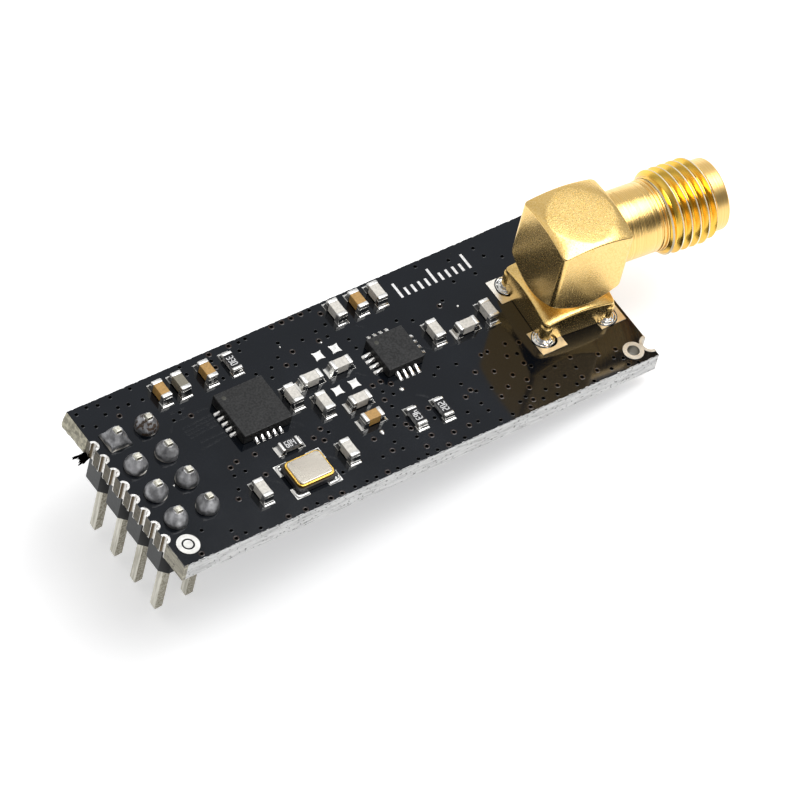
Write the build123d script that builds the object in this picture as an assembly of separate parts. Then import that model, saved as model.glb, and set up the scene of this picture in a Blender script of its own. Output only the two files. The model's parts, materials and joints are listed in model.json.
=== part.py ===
"""Wireless transceiver module: a narrow circuit board with a pin header and soldered half-holes at one
end, a right-angle antenna jack at the other, and two flat chips, a crystal and small parts between."""
import os
from math import radians, tan

from build123d import *

# All sizes are in millimetres. X runs along the board to the antenna jack, Y to its back edge, Z up.
# The origin is the middle of the header's pins, on the face that the header's housing seats on.

# Board: its length is the sum of the steps along it, and its width adds the steps beside the pin rows
header_to_left_edge = 2.92
header_to_transceiver = 8.42
transceiver_to_amplifier = 11.82
amplifier_to_jack = 13.07
jack_to_right_edge = 3.84
header_to_long_edge = 3.59
board_thickness = 1.6
copper = 0.05
hole_plating = 0.05

# Plated half-holes along the left edge
edge_hole_count = 8
edge_hole_pitch = 1.27
edge_hole_offset_y = -0.39
edge_hole_radius = 0.3
edge_land_width = 0.13

# Pin header, two columns of pins
header_columns = 2
header_rows = 4
header_pitch = 2.54
housing_height = 2.54
housing_corner = 0.54
pin_width = 0.64
pin_below_housing = 5.84
pin_above_board = 1.32
pin_foot_point = 0.45
pin_foot_width = 0.26
pin_tip_point = 0.35
pin_tip_width = 0.42
pin_hole_radius = 0.52
pin_land_width = 0.3
pin_solder_height = 1.05
pin_solder_neck = 0.42

# Antenna jack: a square bar, turned to three cones and a groove about its upright axis
jack_offset_y = -0.11
jack_turn = -4.26
jack_square = 5.76
jack_corner = 0.35
jack_height = 9.5
jack_top_radius = 2.6
jack_top_slope = 20.0
jack_base_height = 2.2
jack_base_slope = 21.0
jack_groove_radius = 2.45
jack_groove_height = 0.09
jack_under_slope = 43.0
jack_leg_pitch = 5.08
jack_leg_radius = 0.45
jack_leg_clearance = 0.35
jack_leg_below_board = 1.4
jack_land_square = 2.1
jack_solder_top = 0.3
jack_solder_below = 0.8

# Barrel of the jack, along its own axis from the jack's upright axis
barrel_axis_height = 6.6
neck_radius = 2.58
neck_length = 3.47
thread_radius = 3.1
thread_length = 3.95
thread_chamfer = 0.2
collar_radius = 2.65
collar_length = 1.03
collar_chamfer = 0.12
spigot_radius = 2.35
spigot_length = 1.2
socket_radius = 2.3
socket_depth = 1.9
insulator_radius = 2.05
insulator_behind_axis = 1.2
insulator_drop_radius = 1.3
contact_radius = 0.62
contact_bore_radius = 0.47
contact_bore_depth = 2.4
contact_slot_width = 0.16
contact_slot_depth = 1.6
contact_recess = 0.12
contact_behind_axis = 0.6
tail_radius = 0.4
tail_hole_clearance = 0.2
tail_below_board = 1.4
tail_land_width = 0.4

# Flat chips with leads on all four sides
transceiver_side = 4.0
transceiver_height = 0.85
transceiver_side_lead_count = 5
transceiver_land_reach = 0.42
transceiver_offset_y = 1.45
amplifier_side = 3.0
amplifier_height = 0.8
amplifier_side_lead_count = 4
amplifier_land_reach = 0.66
amplifier_offset_y = 1.17
lead_pitch = 0.5
lead_width = 0.24
lead_length = 0.4
lead_height = 0.2
lead_fillet_height = 0.3
chip_pad_margin = 0.7

# Crystal
crystal_from_transceiver = 0.61
crystal_front_inset = 2.69
crystal_length = 3.2
crystal_width = 2.5
crystal_base_height = 0.45
crystal_notch_radius = 0.22
crystal_notch_below_ring = 0.17
crystal_ring_inset = 0.11
crystal_ring_width = 0.19
crystal_ring_height = 0.2
crystal_ring_corner = 0.34
crystal_lid_inset = 0.12
crystal_lid_height = 0.12
crystal_lid_corner = 0.26
crystal_lid_bevel = 0.07
crystal_land_length = 1.1
crystal_land_width = 0.95
crystal_land_reach = 0.3

# Small two-ended parts
part_length = 1.6
part_width = 0.8
capacitor_height = 0.8
resistor_height = 0.45
end_band = 0.32
end_wall = 0.03
part_land_width = 0.9
part_land_reach = 0.3
part_land_under = 0.3
fillet_width = 0.78
capacitor_fillet_height = 0.42
resistor_fillet_height = 0.3
fillet_hollow = 0.35

# Middle of each small part: the step along the board from the chip of its group, then its place across
# the board. A row along an edge is set by its inset from that edge.
left_row_inset = 1.75
right_row_inset = 1.37
left_row_steps = {"tan_capacitor_1": -4.76, "olive_capacitor": -3.18, "tan_capacitor_2": -0.94,
                  "resistor_1": 1.13}
right_row_steps = {"pale_capacitor_7": -1.62, "tan_capacitor_3": 0.17, "pale_capacitor_8": 1.81}
transceiver_front_parts = {"pale_capacitor_1": (-3.24, 2.74), "pale_capacitor_2": (4.07, 2.88)}
amplifier_front_parts = {"resistor_3": (-1.78, 3.2), "resistor_4": (0.34, 3.0)}
transceiver_parts_across = {"pale_capacitor_3": (3.25, 1.21), "pale_capacitor_4": (4.85, -0.35)}
transceiver_parts_along = {"pale_capacitor_5": (5.16, 1.80), "pale_capacitor_6": (7.70, 1.88),
                           "pale_capacitor_9": (7.20, -1.26), "tan_capacitor_4": (7.12, -2.91),
                           "resistor_2": (0.73, -2.19)}
amplifier_parts_across = {"pale_capacitor_10": (3.59, 1.37), "pale_capacitor_12": (7.99, 1.15)}
amplifier_parts_along = {"pale_capacitor_11": (5.83, 0.71)}

# Empty places for small parts: middle of each pair of tinned pads
empty_places = [(7.73, 3.5), (7.22, 0.33)]
empty_pad_spacing = 1.4
empty_pad_size = 0.75
empty_pad_hollow = 0.07

# Plated hole and half-hole at the right edge, and the round mark at the front left corner
corner_hole_from_edge = 1.44
corner_hole_front_inset = 1.13
corner_hole_radius = 0.5
corner_half_hole_radius = 0.6
corner_land_radius = 0.77
mark_from_left_edge = 1.23
mark_front_inset = 1.47
mark_radius = 0.83
mark_gap_inner = 0.34
mark_gap_outer = 0.47

# How far a cutting shape runs out past the faces that it cuts
overshoot = 1.0

# Places that follow from the sizes
board_left = -header_to_left_edge
transceiver_x = header_to_transceiver
amplifier_x = transceiver_x + transceiver_to_amplifier
jack_x = amplifier_x + amplifier_to_jack
board_right = jack_x + jack_to_right_edge
board_back = header_pitch * (header_rows - 1) / 2 + header_to_long_edge
board_front = -board_back
board_bottom = housing_height + copper
board_top = board_bottom + board_thickness
seat = board_top + copper
pin_places = [(location.position.X, location.position.Y)
              for location in GridLocations(header_pitch, header_pitch, header_columns, header_rows)]
edge_hole_places = [(board_left, edge_hole_offset_y + (index - (edge_hole_count - 1) / 2) * edge_hole_pitch)
                    for index in range(edge_hole_count)]
leg_hole_radius = jack_leg_radius + jack_leg_clearance
leg_places = [(side_x * jack_leg_pitch / 2, side_y * jack_leg_pitch / 2)
              for side_x in (-1, 1) for side_y in (-1, 1)]
tail_hole_radius = tail_radius + tail_hole_clearance
barrel_start = jack_square / 2
thread_start = barrel_start + neck_length
collar_start = thread_start + thread_length
barrel_end = collar_start + collar_length
socket_floor = barrel_end - socket_depth
contact_end = socket_floor - contact_recess
through_board = (board_bottom - overshoot, board_top + overshoot)
jack_location = Pos(jack_x, jack_offset_y, seat) * Rot(0, 0, jack_turn)
barrel_location = Pos(0, 0, barrel_axis_height) * Rot(0, 90, 0)
corner_hole = (board_right - corner_hole_from_edge, board_front + corner_hole_front_inset)
corner_half_hole = (board_right, board_front + corner_hole_front_inset)
crystal_place = (transceiver_x + crystal_from_transceiver, board_front + crystal_front_inset)


def block(x_range, y_range, z_range):
    """A box between two limits on each axis."""
    sizes = [high - low for low, high in (x_range, y_range, z_range)]
    middle = [(low + high) / 2 for low, high in (x_range, y_range, z_range)]
    return Pos(*middle) * Box(*sizes)


def slab(middle_x, middle_y, length, width, z_range):
    """A box given by its middle and its size in plan."""
    return block((middle_x - length / 2, middle_x + length / 2),
                 (middle_y - width / 2, middle_y + width / 2), z_range)


def rod(x, y, radius, z_range):
    """An upright cylinder."""
    low, high = z_range
    return Pos(x, y, (low + high) / 2) * Cylinder(radius, high - low)


def cone(x, y, low_radius, high_radius, z_range):
    """An upright cone frustum."""
    low, high = z_range
    return Pos(x, y, (low + high) / 2) * Cone(low_radius, high_radius, high - low)


def turned(points):
    """A solid turned about the Z axis from its half section, given as radius and height."""
    return revolve(Plane.XZ * make_face(Polyline(*points, close=True)), Axis.Z)


def fillet_wedge(reach, height, width):
    """Solder that climbs a wall at x = 0: a hollow curve from the land up to the wall."""
    curve = ThreePointArc((reach, 0), (reach * fillet_hollow, height * fillet_hollow), (0, height))
    outline = Line((0, height), (0, 0)) + Line((0, 0), (reach, 0)) + curve
    return extrude(Plane.XZ * make_face(outline), width / 2, both=True)


def save(name, *shapes):
    """Writes the solids of one node."""
    solids = [solid for shape in shapes for solid in shape.solids()]
    export_step(solids[0] if len(solids) == 1 else Compound(solids), f"parts/{name}.step")


def board_holes():
    """Everything that is drilled or milled through the board."""
    holes = [rod(x, y, pin_hole_radius, through_board) for x, y in pin_places]
    holes += [rod(x, y, edge_hole_radius, through_board) for x, y in edge_hole_places]
    holes += [rod(jack_x + x, jack_offset_y + y, leg_hole_radius, through_board) for x, y in leg_places]
    holes.append(rod(jack_x, jack_offset_y, tail_hole_radius, through_board))
    holes.append(rod(*corner_hole, corner_hole_radius, through_board))
    holes.append(rod(*corner_half_hole, corner_half_hole_radius, through_board))
    return holes


def circuit_board():
    """The bare board with its holes."""
    blank = block((board_left, board_right), (board_front, board_back), (board_bottom, board_top))
    return blank - board_holes()


def plated_hole(x, y, radius, top_shape, bottom_shape):
    """Copper wall of a hole with a land on the top, on the bottom, or on both."""
    bore = rod(x, y, radius - hole_plating, through_board)
    wall = rod(x, y, radius, (board_bottom, board_top))
    return wall + top_shape + bottom_shape - bore


def board_space():
    """The board's outline, drawn out past both faces, to trim what runs over its edges."""
    return block((board_left, board_right), (board_front, board_back), through_board)


def round_land(x, y, radius, top):
    """A round land on the board's top or bottom."""
    return rod(x, y, radius, (board_top, seat) if top else (board_bottom - copper, board_bottom))


def square_land(x, y, side, top):
    """A square land on the board's top or bottom."""
    return slab(x, y, side, side, (board_top, seat) if top else (board_bottom - copper, board_bottom))


def edge_pads():
    """Copper of the half-holes along the left edge."""
    land_radius = edge_hole_radius + edge_land_width
    return [plated_hole(x, y, edge_hole_radius, round_land(x, y, land_radius, True),
                        round_land(x, y, land_radius, False)) & board_space()
            for x, y in edge_hole_places]


def corner_rings():
    """The plated hole and the half-hole next to it, whose lands run into each other."""
    holes = ((corner_hole, corner_hole_radius), (corner_half_hole, corner_half_hole_radius))
    rings = [plated_hole(*place, radius, round_land(*place, corner_land_radius, True),
                         round_land(*place, corner_land_radius, False)) for place, radius in holes]
    bores = [rod(*place, radius - hole_plating, through_board) for place, radius in holes]
    return ((rings[0] + rings[1]) & board_space()) - bores


def is_first_pin(x, y):
    """The first pin is the outer one at the back."""
    return x < 0 and y > header_pitch * (header_rows - 2) / 2


def header_land(x, y):
    """Plated hole of one pin: the first pin's land is square."""
    radius = pin_hole_radius + pin_land_width
    top = square_land(x, y, 2 * radius, True) if is_first_pin(x, y) else round_land(x, y, radius, True)
    return plated_hole(x, y, pin_hole_radius, top, round_land(x, y, radius, False))


def header_housing():
    """The moulded bar that carries the pins: one lobe for each pin, with cut corners."""
    lobe = chamfer(Rectangle(header_pitch, header_pitch).vertices(), housing_corner)
    lobes = Sketch() + [Pos(x, y) * lobe for x, y in pin_places]
    core = Rectangle((header_columns - 1) * header_pitch, (header_rows - 1) * header_pitch)
    holes = Sketch() + [Pos(x, y) * Rectangle(pin_width, pin_width) for x, y in pin_places]
    return extrude(lobes + core - holes, housing_height)


def header_pin(x, y):
    """A square pin with a long point at its foot and broken edges at its tip."""
    sections = [(-pin_below_housing, pin_foot_width), (-pin_below_housing + pin_foot_point, pin_width),
                (board_top + pin_above_board - pin_tip_point, pin_width),
                (board_top + pin_above_board, pin_tip_width)]
    faces = [Pos(x, y, z) * Rectangle(width, width) for z, width in sections]
    shank = extrude(faces[1], sections[2][0] - sections[1][0])
    return loft([faces[0], faces[1]]) + shank + loft([faces[2], faces[3]])


def header_solder(x, y, pin):
    """Solder that fills a pin's hole and stands in a cone above the board."""
    bore = pin_hole_radius - hole_plating
    foot = pin_hole_radius + pin_land_width
    fill = rod(x, y, bore, (board_bottom - copper, seat))
    if is_first_pin(x, y):
        faces = [Pos(x, y, seat) * Rectangle(2 * foot, 2 * foot),
                 Pos(x, y, seat + pin_solder_height) * Rectangle(2 * pin_solder_neck, 2 * pin_solder_neck)]
        mound = loft(faces)
    else:
        mound = cone(x, y, foot, pin_solder_neck, (seat, seat + pin_solder_height))
    return fill + mound - pin


def jack_bar():
    """The square bar that the jack's body is turned from."""
    outline = fillet(Rectangle(jack_square, jack_square).vertices(), jack_corner)
    foot = -(board_thickness + copper + jack_leg_below_board)
    return extrude(Pos(0, 0, foot) * outline, jack_height - foot)


def jack_body():
    """Base block, groove and upper block with their cones, and four legs cut from the same bar. The
    base's height is taken at the middle of its sides."""
    reach = jack_square
    ledge, under, over = (tan(radians(slope)) for slope in (jack_base_slope, jack_under_slope, jack_top_slope))
    groove_bottom = jack_base_height + (jack_square / 2 - jack_groove_radius) * ledge
    groove_top = groove_bottom + jack_groove_height
    form = turned([(0, 0), (reach, 0), (reach, groove_bottom - (reach - jack_groove_radius) * ledge),
                   (jack_groove_radius, groove_bottom), (jack_groove_radius, groove_top),
                   (reach, groove_top + (reach - jack_groove_radius) * under),
                   (reach, jack_height - (reach - jack_top_radius) * over),
                   (jack_top_radius, jack_height), (0, jack_height)])
    foot = -(board_thickness + copper + jack_leg_below_board)
    legs = [rod(x, y, jack_leg_radius, (foot, 0)) for x, y in leg_places]
    body = (form + legs) & jack_bar()
    barrel_bore = barrel_location * rod(0, 0, insulator_radius, (-insulator_behind_axis, reach))
    spigot_bore = barrel_location * rod(0, 0, spigot_radius, (barrel_start - spigot_length, reach))
    drop_bore = rod(0, 0, insulator_drop_radius, (-overshoot, barrel_axis_height))
    return jack_location * (body - barrel_bore - spigot_bore - drop_bore)


def jack_barrel():
    """The threaded sleeve, pressed into the body by its spigot. Its thread is a plain cylinder here."""
    spigot_start = barrel_start - spigot_length
    form = turned([(insulator_radius, spigot_start), (spigot_radius, spigot_start),
                   (spigot_radius, barrel_start), (neck_radius, barrel_start), (neck_radius, thread_start),
                   (thread_radius - thread_chamfer, thread_start),
                   (thread_radius, thread_start + thread_chamfer),
                   (thread_radius, collar_start - thread_chamfer),
                   (thread_radius - thread_chamfer, collar_start), (collar_radius, collar_start),
                   (collar_radius, barrel_end - collar_chamfer),
                   (collar_radius - collar_chamfer, barrel_end), (socket_radius, barrel_end),
                   (socket_radius, socket_floor), (insulator_radius, socket_floor)])
    return jack_location * barrel_location * form


def contact_form():
    """Centre contact: a slotted socket in the barrel and a tail that goes down through the board."""
    socket = rod(0, 0, contact_radius, (-contact_behind_axis, contact_end))
    socket -= rod(0, 0, contact_bore_radius, (contact_end - contact_bore_depth, contact_end))
    slot_range = (contact_end - contact_slot_depth, contact_end)
    socket -= slab(0, 0, 2 * contact_radius, contact_slot_width, slot_range)
    socket -= slab(0, 0, contact_slot_width, 2 * contact_radius, slot_range)
    foot = -(board_thickness + copper + tail_below_board)
    return barrel_location * socket + rod(0, 0, tail_radius, (foot, barrel_axis_height))


def jack_insulator():
    """White insulator that fills the barrel and the body's bores round the contact."""
    along = barrel_location * rod(0, 0, insulator_radius, (-insulator_behind_axis, socket_floor))
    drop = rod(0, 0, insulator_drop_radius, (0, barrel_axis_height))
    core = barrel_location * rod(0, 0, contact_radius, (-contact_behind_axis, socket_floor))
    tail = rod(0, 0, tail_radius, (-overshoot, barrel_axis_height))
    return jack_location * (along + drop - core - tail)


def jack_lands():
    """Plated holes of the jack: a square land at each leg and a round one under its contact."""
    lands = [plated_hole(jack_x + x, jack_offset_y + y, leg_hole_radius,
                         square_land(jack_x + x, jack_offset_y + y, jack_land_square, True),
                         square_land(jack_x + x, jack_offset_y + y, jack_land_square, False))
             for x, y in leg_places]
    tail_land = round_land(jack_x, jack_offset_y, tail_hole_radius + tail_land_width, False)
    lands.append(plated_hole(jack_x, jack_offset_y, tail_hole_radius, tail_land, tail_land))
    return lands


def jack_solder(body, contact):
    """Solder of the jack: it fills the holes, rings the base's corners and cones below the board."""
    joints = []
    under_board = board_bottom - copper
    for x, y in leg_places:
        place = (jack_x + x, jack_offset_y + y)
        fill = rod(*place, leg_hole_radius - hole_plating, (under_board, seat))
        ring = cone(*place, leg_hole_radius + hole_plating, jack_leg_radius, (seat, seat + jack_solder_top))
        mound = cone(*place, jack_leg_radius, leg_hole_radius + hole_plating,
                     (under_board - jack_solder_below, under_board))
        joints.append(fill + ring + mound - body)
    fill = rod(jack_x, jack_offset_y, tail_hole_radius - hole_plating, (under_board, board_top))
    mound = cone(jack_x, jack_offset_y, tail_radius, tail_hole_radius + tail_land_width,
                 (under_board - jack_solder_below, under_board))
    joints.append(fill + mound - contact)
    return joints


def on_each_side(count):
    """Turn and step along the side of each lead of a flat chip."""
    return [(turn, (index - (count - 1) / 2) * lead_pitch)
            for turn in (0, 90, 180, 270) for index in range(count)]


def flat_chip(x, y, side, height, count, land_reach):
    """A flat chip: its moulded body, its leads, their lands and the solder along them."""
    leads, lands, fillets = [], [], []
    for turn, step in on_each_side(count):
        place = Pos(x, y, 0) * Rot(0, 0, turn)
        across = (step - lead_width / 2, step + lead_width / 2)
        leads.append(place * block((side / 2 - lead_length, side / 2), across, (seat, seat + lead_height)))
        lands.append(place * block((side / 2 - lead_length, side / 2 + land_reach), across,
                                   (board_top, seat)))
        fillets.append(place * Pos(side / 2, step, seat)
                       * fillet_wedge(land_reach, lead_fillet_height, lead_width))
    pad_side = side - 2 * chip_pad_margin
    leads.append(slab(x, y, pad_side, pad_side, (seat, seat + lead_height)))
    lands.append(slab(x, y, pad_side, pad_side, (board_top, seat)))
    body = slab(x, y, side, side, (seat, seat + height)) - leads
    return body, leads, lands, fillets


def crystal():
    """Ceramic base with notched corners, seal ring, bevelled lid and four lands."""
    x, y = crystal_place
    ring_bottom = seat + crystal_base_height
    lid_bottom = ring_bottom + crystal_ring_height
    base = slab(x, y, crystal_length, crystal_width, (seat, ring_bottom))
    notch_range = (seat - overshoot, ring_bottom - crystal_notch_below_ring)
    corners = [(side_x, side_y) for side_x in (-1, 1) for side_y in (-1, 1)]
    base -= [rod(x + side_x * crystal_length / 2, y + side_y * crystal_width / 2, crystal_notch_radius,
                 notch_range) for side_x, side_y in corners]
    ring_length = crystal_length - 2 * crystal_ring_inset
    ring_width = crystal_width - 2 * crystal_ring_inset
    ring_range = (ring_bottom, lid_bottom)
    ring = slab(x, y, ring_length, ring_width, ring_range)
    ring = fillet(ring.edges().filter_by(Axis.Z), crystal_ring_corner)
    ring -= slab(x, y, ring_length - 2 * crystal_ring_width, ring_width - 2 * crystal_ring_width, ring_range)
    lid = slab(x, y, ring_length - 2 * crystal_lid_inset, ring_width - 2 * crystal_lid_inset,
               (lid_bottom, lid_bottom + crystal_lid_height))
    lid = fillet(lid.edges().filter_by(Axis.Z), crystal_lid_corner)
    lid = chamfer(lid.faces().sort_by(Axis.Z)[-1].edges(), crystal_lid_bevel)
    land_x = crystal_length / 2 + crystal_land_reach - crystal_land_length / 2
    land_y = crystal_width / 2 + crystal_land_reach - crystal_land_width / 2
    lands = [slab(x + side_x * land_x, y + side_y * land_y, crystal_land_length, crystal_land_width,
                  (board_top, seat)) for side_x, side_y in corners]
    return base, ring, lid, lands


def small_part(x, y, turn, height, fillet_height):
    """A two-ended part: its body, its metal ends, their lands and the solder at each end."""
    place = Pos(x, y, 0) * Rot(0, 0, turn)
    body = block((-part_length / 2 + end_wall, part_length / 2 - end_wall),
                 (-part_width / 2 + end_wall, part_width / 2 - end_wall),
                 (seat + end_wall, seat + height - end_wall))
    ends, lands, fillets = [], [], []
    for half_turn in (0, 180):
        side = place * Rot(0, 0, half_turn)
        ends.append(side * (block((part_length / 2 - end_band, part_length / 2),
                                  (-part_width / 2, part_width / 2), (seat, seat + height)) - body))
        lands.append(side * block((part_length / 2 - part_land_under, part_length / 2 + part_land_reach),
                                  (-part_land_width / 2, part_land_width / 2), (board_top, seat)))
        fillets.append(side * Pos(part_length / 2, 0, seat)
                       * fillet_wedge(part_land_reach, fillet_height, fillet_width))
    return place * body, ends, lands, fillets


def small_part_places():
    """Name, middle and turn of each small part on the board."""
    places = {}
    for name, step in left_row_steps.items():
        places[name] = (transceiver_x + step, board_back - left_row_inset, 90)
    for name, step in right_row_steps.items():
        places[name] = (amplifier_x + step, board_back - right_row_inset, 90)
    for chip_x, parts in ((transceiver_x, transceiver_front_parts), (amplifier_x, amplifier_front_parts)):
        for name, (step, inset) in parts.items():
            places[name] = (chip_x + step, board_front + inset, 90)
    for chip_x, parts, turn in ((transceiver_x, transceiver_parts_across, 90),
                                (transceiver_x, transceiver_parts_along, 0),
                                (amplifier_x, amplifier_parts_across, 90),
                                (amplifier_x, amplifier_parts_along, 0)):
        for name, (step, y) in parts.items():
            places[name] = (chip_x + step, y, turn)
    return places


def empty_pads():
    """Tinned pads of the places that hold no part: squares whose sides are drawn in."""
    half = empty_pad_size / 2
    side = ThreePointArc((-half, half), (0, half - empty_pad_hollow), (half, half))
    outline = [Rot(0, 0, turn) * side for turn in (0, 90, 180, 270)]
    pad = extrude(make_face(outline), copper)
    return [Pos(transceiver_x + step + way * empty_pad_spacing / 2, y, board_top) * pad
            for step, y in empty_places for way in (-1, 1)]


def corner_mark():
    """Tinned disc with a thin ring of bare board round its middle."""
    x, y = board_left + mark_from_left_edge, board_front + mark_front_inset
    outer = rod(x, y, mark_radius, (board_top, seat)) - rod(x, y, mark_gap_outer, (board_top, seat))
    return [outer, rod(x, y, mark_gap_inner, (board_top, seat))]


os.makedirs("parts", exist_ok=True)

save("circuit_board", circuit_board())
save("edge_pads", *edge_pads())
save("corner_rings", corner_rings())
save("corner_mark", *corner_mark())
save("bare_pads", *empty_pads())

pins = [header_pin(x, y) for x, y in pin_places]
for number, pin in enumerate(pins, start=1):
    save(f"header_pin_{number}", pin)
save("header_housing", header_housing())
save("header_lands", *[header_land(x, y) for x, y in pin_places])
save("header_solder", *[header_solder(x, y, pin) for (x, y), pin in zip(pin_places, pins)])

body = jack_body()
contact = jack_location * contact_form()
save("jack_body", body)
save("jack_barrel", jack_barrel())
save("jack_insulator", jack_insulator())
save("jack_contact", contact)
save("jack_lands", *jack_lands())
save("jack_solder", *jack_solder(body, contact))

all_lands, all_fillets = [], []
for name, chip in (("transceiver", flat_chip(transceiver_x, transceiver_offset_y, transceiver_side,
                                             transceiver_height, transceiver_side_lead_count,
                                             transceiver_land_reach)),
                   ("amplifier", flat_chip(amplifier_x, amplifier_offset_y, amplifier_side,
                                           amplifier_height, amplifier_side_lead_count,
                                           amplifier_land_reach))):
    chip_body, leads, lands, fillets = chip
    save(f"{name}_chip", chip_body)
    save(f"{name}_leads", *leads)
    all_lands += lands
    all_fillets += fillets

crystal_base, crystal_ring, crystal_lid, crystal_lands = crystal()
save("crystal_base", crystal_base)
save("crystal_ring", crystal_ring)
save("crystal_lid", crystal_lid)
all_lands += crystal_lands

ends_of = {"capacitor": [], "resistor": []}
for name, (x, y, turn) in small_part_places().items():
    kind = "resistor" if name.startswith("resistor") else "capacitor"
    height, rise = {"resistor": (resistor_height, resistor_fillet_height),
                    "capacitor": (capacitor_height, capacitor_fillet_height)}[kind]
    part_body, ends, lands, fillets = small_part(x, y, turn, height, rise)
    save(name, part_body)
    ends_of[kind] += ends
    all_lands += lands
    all_fillets += fillets
save("capacitor_ends", *ends_of["capacitor"])
save("resistor_ends", *ends_of["resistor"])
save("component_lands", *all_lands)
save("component_solder", *all_fillets)
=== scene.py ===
"""Looks of the wireless transceiver module: a black board with a gold antenna jack, a soldered pin
header, flat chips, a crystal and small parts, on a pale floor."""
import json
from math import atan2, cos, pi, radians, sin, sqrt, tan

import bpy
from bpy.props import FloatProperty, FloatVectorProperty, IntProperty, PointerProperty
from mathutils import Matrix, Vector, noise


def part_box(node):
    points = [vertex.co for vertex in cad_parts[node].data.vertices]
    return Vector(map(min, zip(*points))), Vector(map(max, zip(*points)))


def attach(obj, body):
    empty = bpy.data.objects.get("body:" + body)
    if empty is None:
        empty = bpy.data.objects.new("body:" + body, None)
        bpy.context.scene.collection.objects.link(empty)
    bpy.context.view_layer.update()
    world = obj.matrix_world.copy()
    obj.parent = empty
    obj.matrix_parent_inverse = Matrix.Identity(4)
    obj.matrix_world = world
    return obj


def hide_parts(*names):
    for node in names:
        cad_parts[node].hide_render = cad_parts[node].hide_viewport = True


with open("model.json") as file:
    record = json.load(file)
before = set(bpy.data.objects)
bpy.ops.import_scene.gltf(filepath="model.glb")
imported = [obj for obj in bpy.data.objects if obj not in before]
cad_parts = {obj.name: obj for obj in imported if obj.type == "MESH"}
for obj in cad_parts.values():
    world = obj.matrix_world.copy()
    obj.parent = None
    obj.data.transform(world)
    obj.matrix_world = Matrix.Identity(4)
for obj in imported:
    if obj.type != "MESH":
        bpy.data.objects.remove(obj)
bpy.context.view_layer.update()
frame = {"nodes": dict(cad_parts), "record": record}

bl_info = {
    "name": "Wireless Transceiver Module",
    "version": (1, 0, 0),
    "blender": (4, 5, 0),
    "location": "3D View > Sidebar > Module",
    "description": "Builds the finish of a small radio module around its solids",
    "category": "Object",
}

MM = 0.001
BODY = "root"

# Places read from the frame, in millimetres


def node_box(name):
    """Lowest and highest corner of a node, in millimetres."""
    low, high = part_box(name)
    return low / MM, high / MM


def node_middle(name):
    """Middle of a node's box, in millimetres."""
    low, high = node_box(name)
    return (low + high) / 2


def mount(name):
    """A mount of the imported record."""
    return next(entry for entry in frame["record"]["mounts"] if entry["name"] == name)


BOARD_LOW, BOARD_HIGH = node_box("circuit_board")
SEAT = node_box("component_lands")[1].z
JACK_MIDDLE = node_middle("jack_body")
THREAD_MOUNT = mount("antenna_thread")
JACK_TURN = atan2(THREAD_MOUNT["axis"][1], THREAD_MOUNT["axis"][0])
BARREL_HEIGHT = THREAD_MOUNT["pos_m"][2] / MM - SEAT
CAPACITORS = [name for name in frame["nodes"] if "capacitor_" in name + "_" and name != "capacitor_ends"]
RESISTORS = [name for name in frame["nodes"] if name.startswith("resistor_") and name != "resistor_ends"]
PINS = sorted(name for name in frame["nodes"] if name.startswith("header_pin_"))


def length_setting(name, description, size):
    """A length that a user can change, with its first value in millimetres."""
    return FloatProperty(name=name, description=description, default=size * MM, unit="LENGTH")


def colour_setting(name, description, *parts):
    """A colour that a user can change."""
    return FloatVectorProperty(name=name, description=description, default=parts, size=3, subtype="COLOR")


class ModuleSizes(bpy.types.PropertyGroup):
    """Sizes that a user would change."""
    jack_side: length_setting("Jack Side", "Width of the jack's square bar", 5.76)
    jack_corner: length_setting("Jack Corner", "Radius of the bar's upright edges", 0.35)
    jack_height: length_setting("Jack Height", "Height of the jack's body", 9.5)
    jack_edge: length_setting("Jack Edge", "Rounding of the turned edges", 0.1)
    thread_pitch: length_setting("Thread Pitch", "Step of the thread", 0.7056)
    thread_depth: length_setting("Thread Depth", "Height of the thread", 0.4)
    solder_height: length_setting("Solder Height", "Height of the solder round a pin", 1.08)
    edge_rounding: length_setting("Edge Rounding", "Rounding of the small parts' edges", 0.07)
    seed: IntProperty(name="Seed", description="Start of the random numbers", default=7, min=1)


class ModuleColours(bpy.types.PropertyGroup):
    """Colours that a user would change."""
    mask: colour_setting("Solder Mask", "Colour of the board's faces", 0.0022, 0.0035, 0.006)
    fibre: colour_setting("Board Edge", "Colour of the cut glass fibre", 0.93, 0.93, 0.92)
    gold: colour_setting("Gold", "Colour of the plating", 0.95, 0.665, 0.26)
    tin: colour_setting("Tin", "Colour of bare tinned metal", 0.86, 0.85, 0.82)
    solder: colour_setting("Solder", "Colour of the solder", 0.55, 0.55, 0.56)
    moulding: colour_setting("Chip Moulding", "Colour of the chips", 0.013, 0.013, 0.013)
    header: colour_setting("Header Plastic", "Colour of the header's housing", 0.024, 0.027, 0.028)
    floor: colour_setting("Floor", "Colour of the floor", 0.8, 0.8, 0.8)


# Node trees


def link_or_set(tree, socket, value):
    """Links another node's result to an input socket, or sets the socket to a plain value."""
    if isinstance(value, bpy.types.NodeSocket):
        tree.links.new(value, socket)
    else:
        socket.default_value = value


def add_node(tree, kind, inputs=None, **settings):
    """Adds a shader node, makes its settings, and sets or links its input sockets."""
    made = tree.nodes.new("ShaderNode" + kind)
    for name, value in settings.items():
        setattr(made, name, value)
    for name, value in (inputs or {}).items():
        link_or_set(tree, made.inputs[name], value)
    return made


def calculate(tree, operation, *values):
    """A math node's result."""
    return add_node(tree, "Math", dict(enumerate(values)), operation=operation).outputs[0]


def blend_colours(tree, factor, first, second):
    """A colour mix node's result, from two colours with or without their alpha."""
    first, second = (solid_colour(colour) for colour in (first, second))
    return add_node(tree, "Mix", {0: factor, 6: first, 7: second}, data_type="RGBA").outputs[2]


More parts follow.
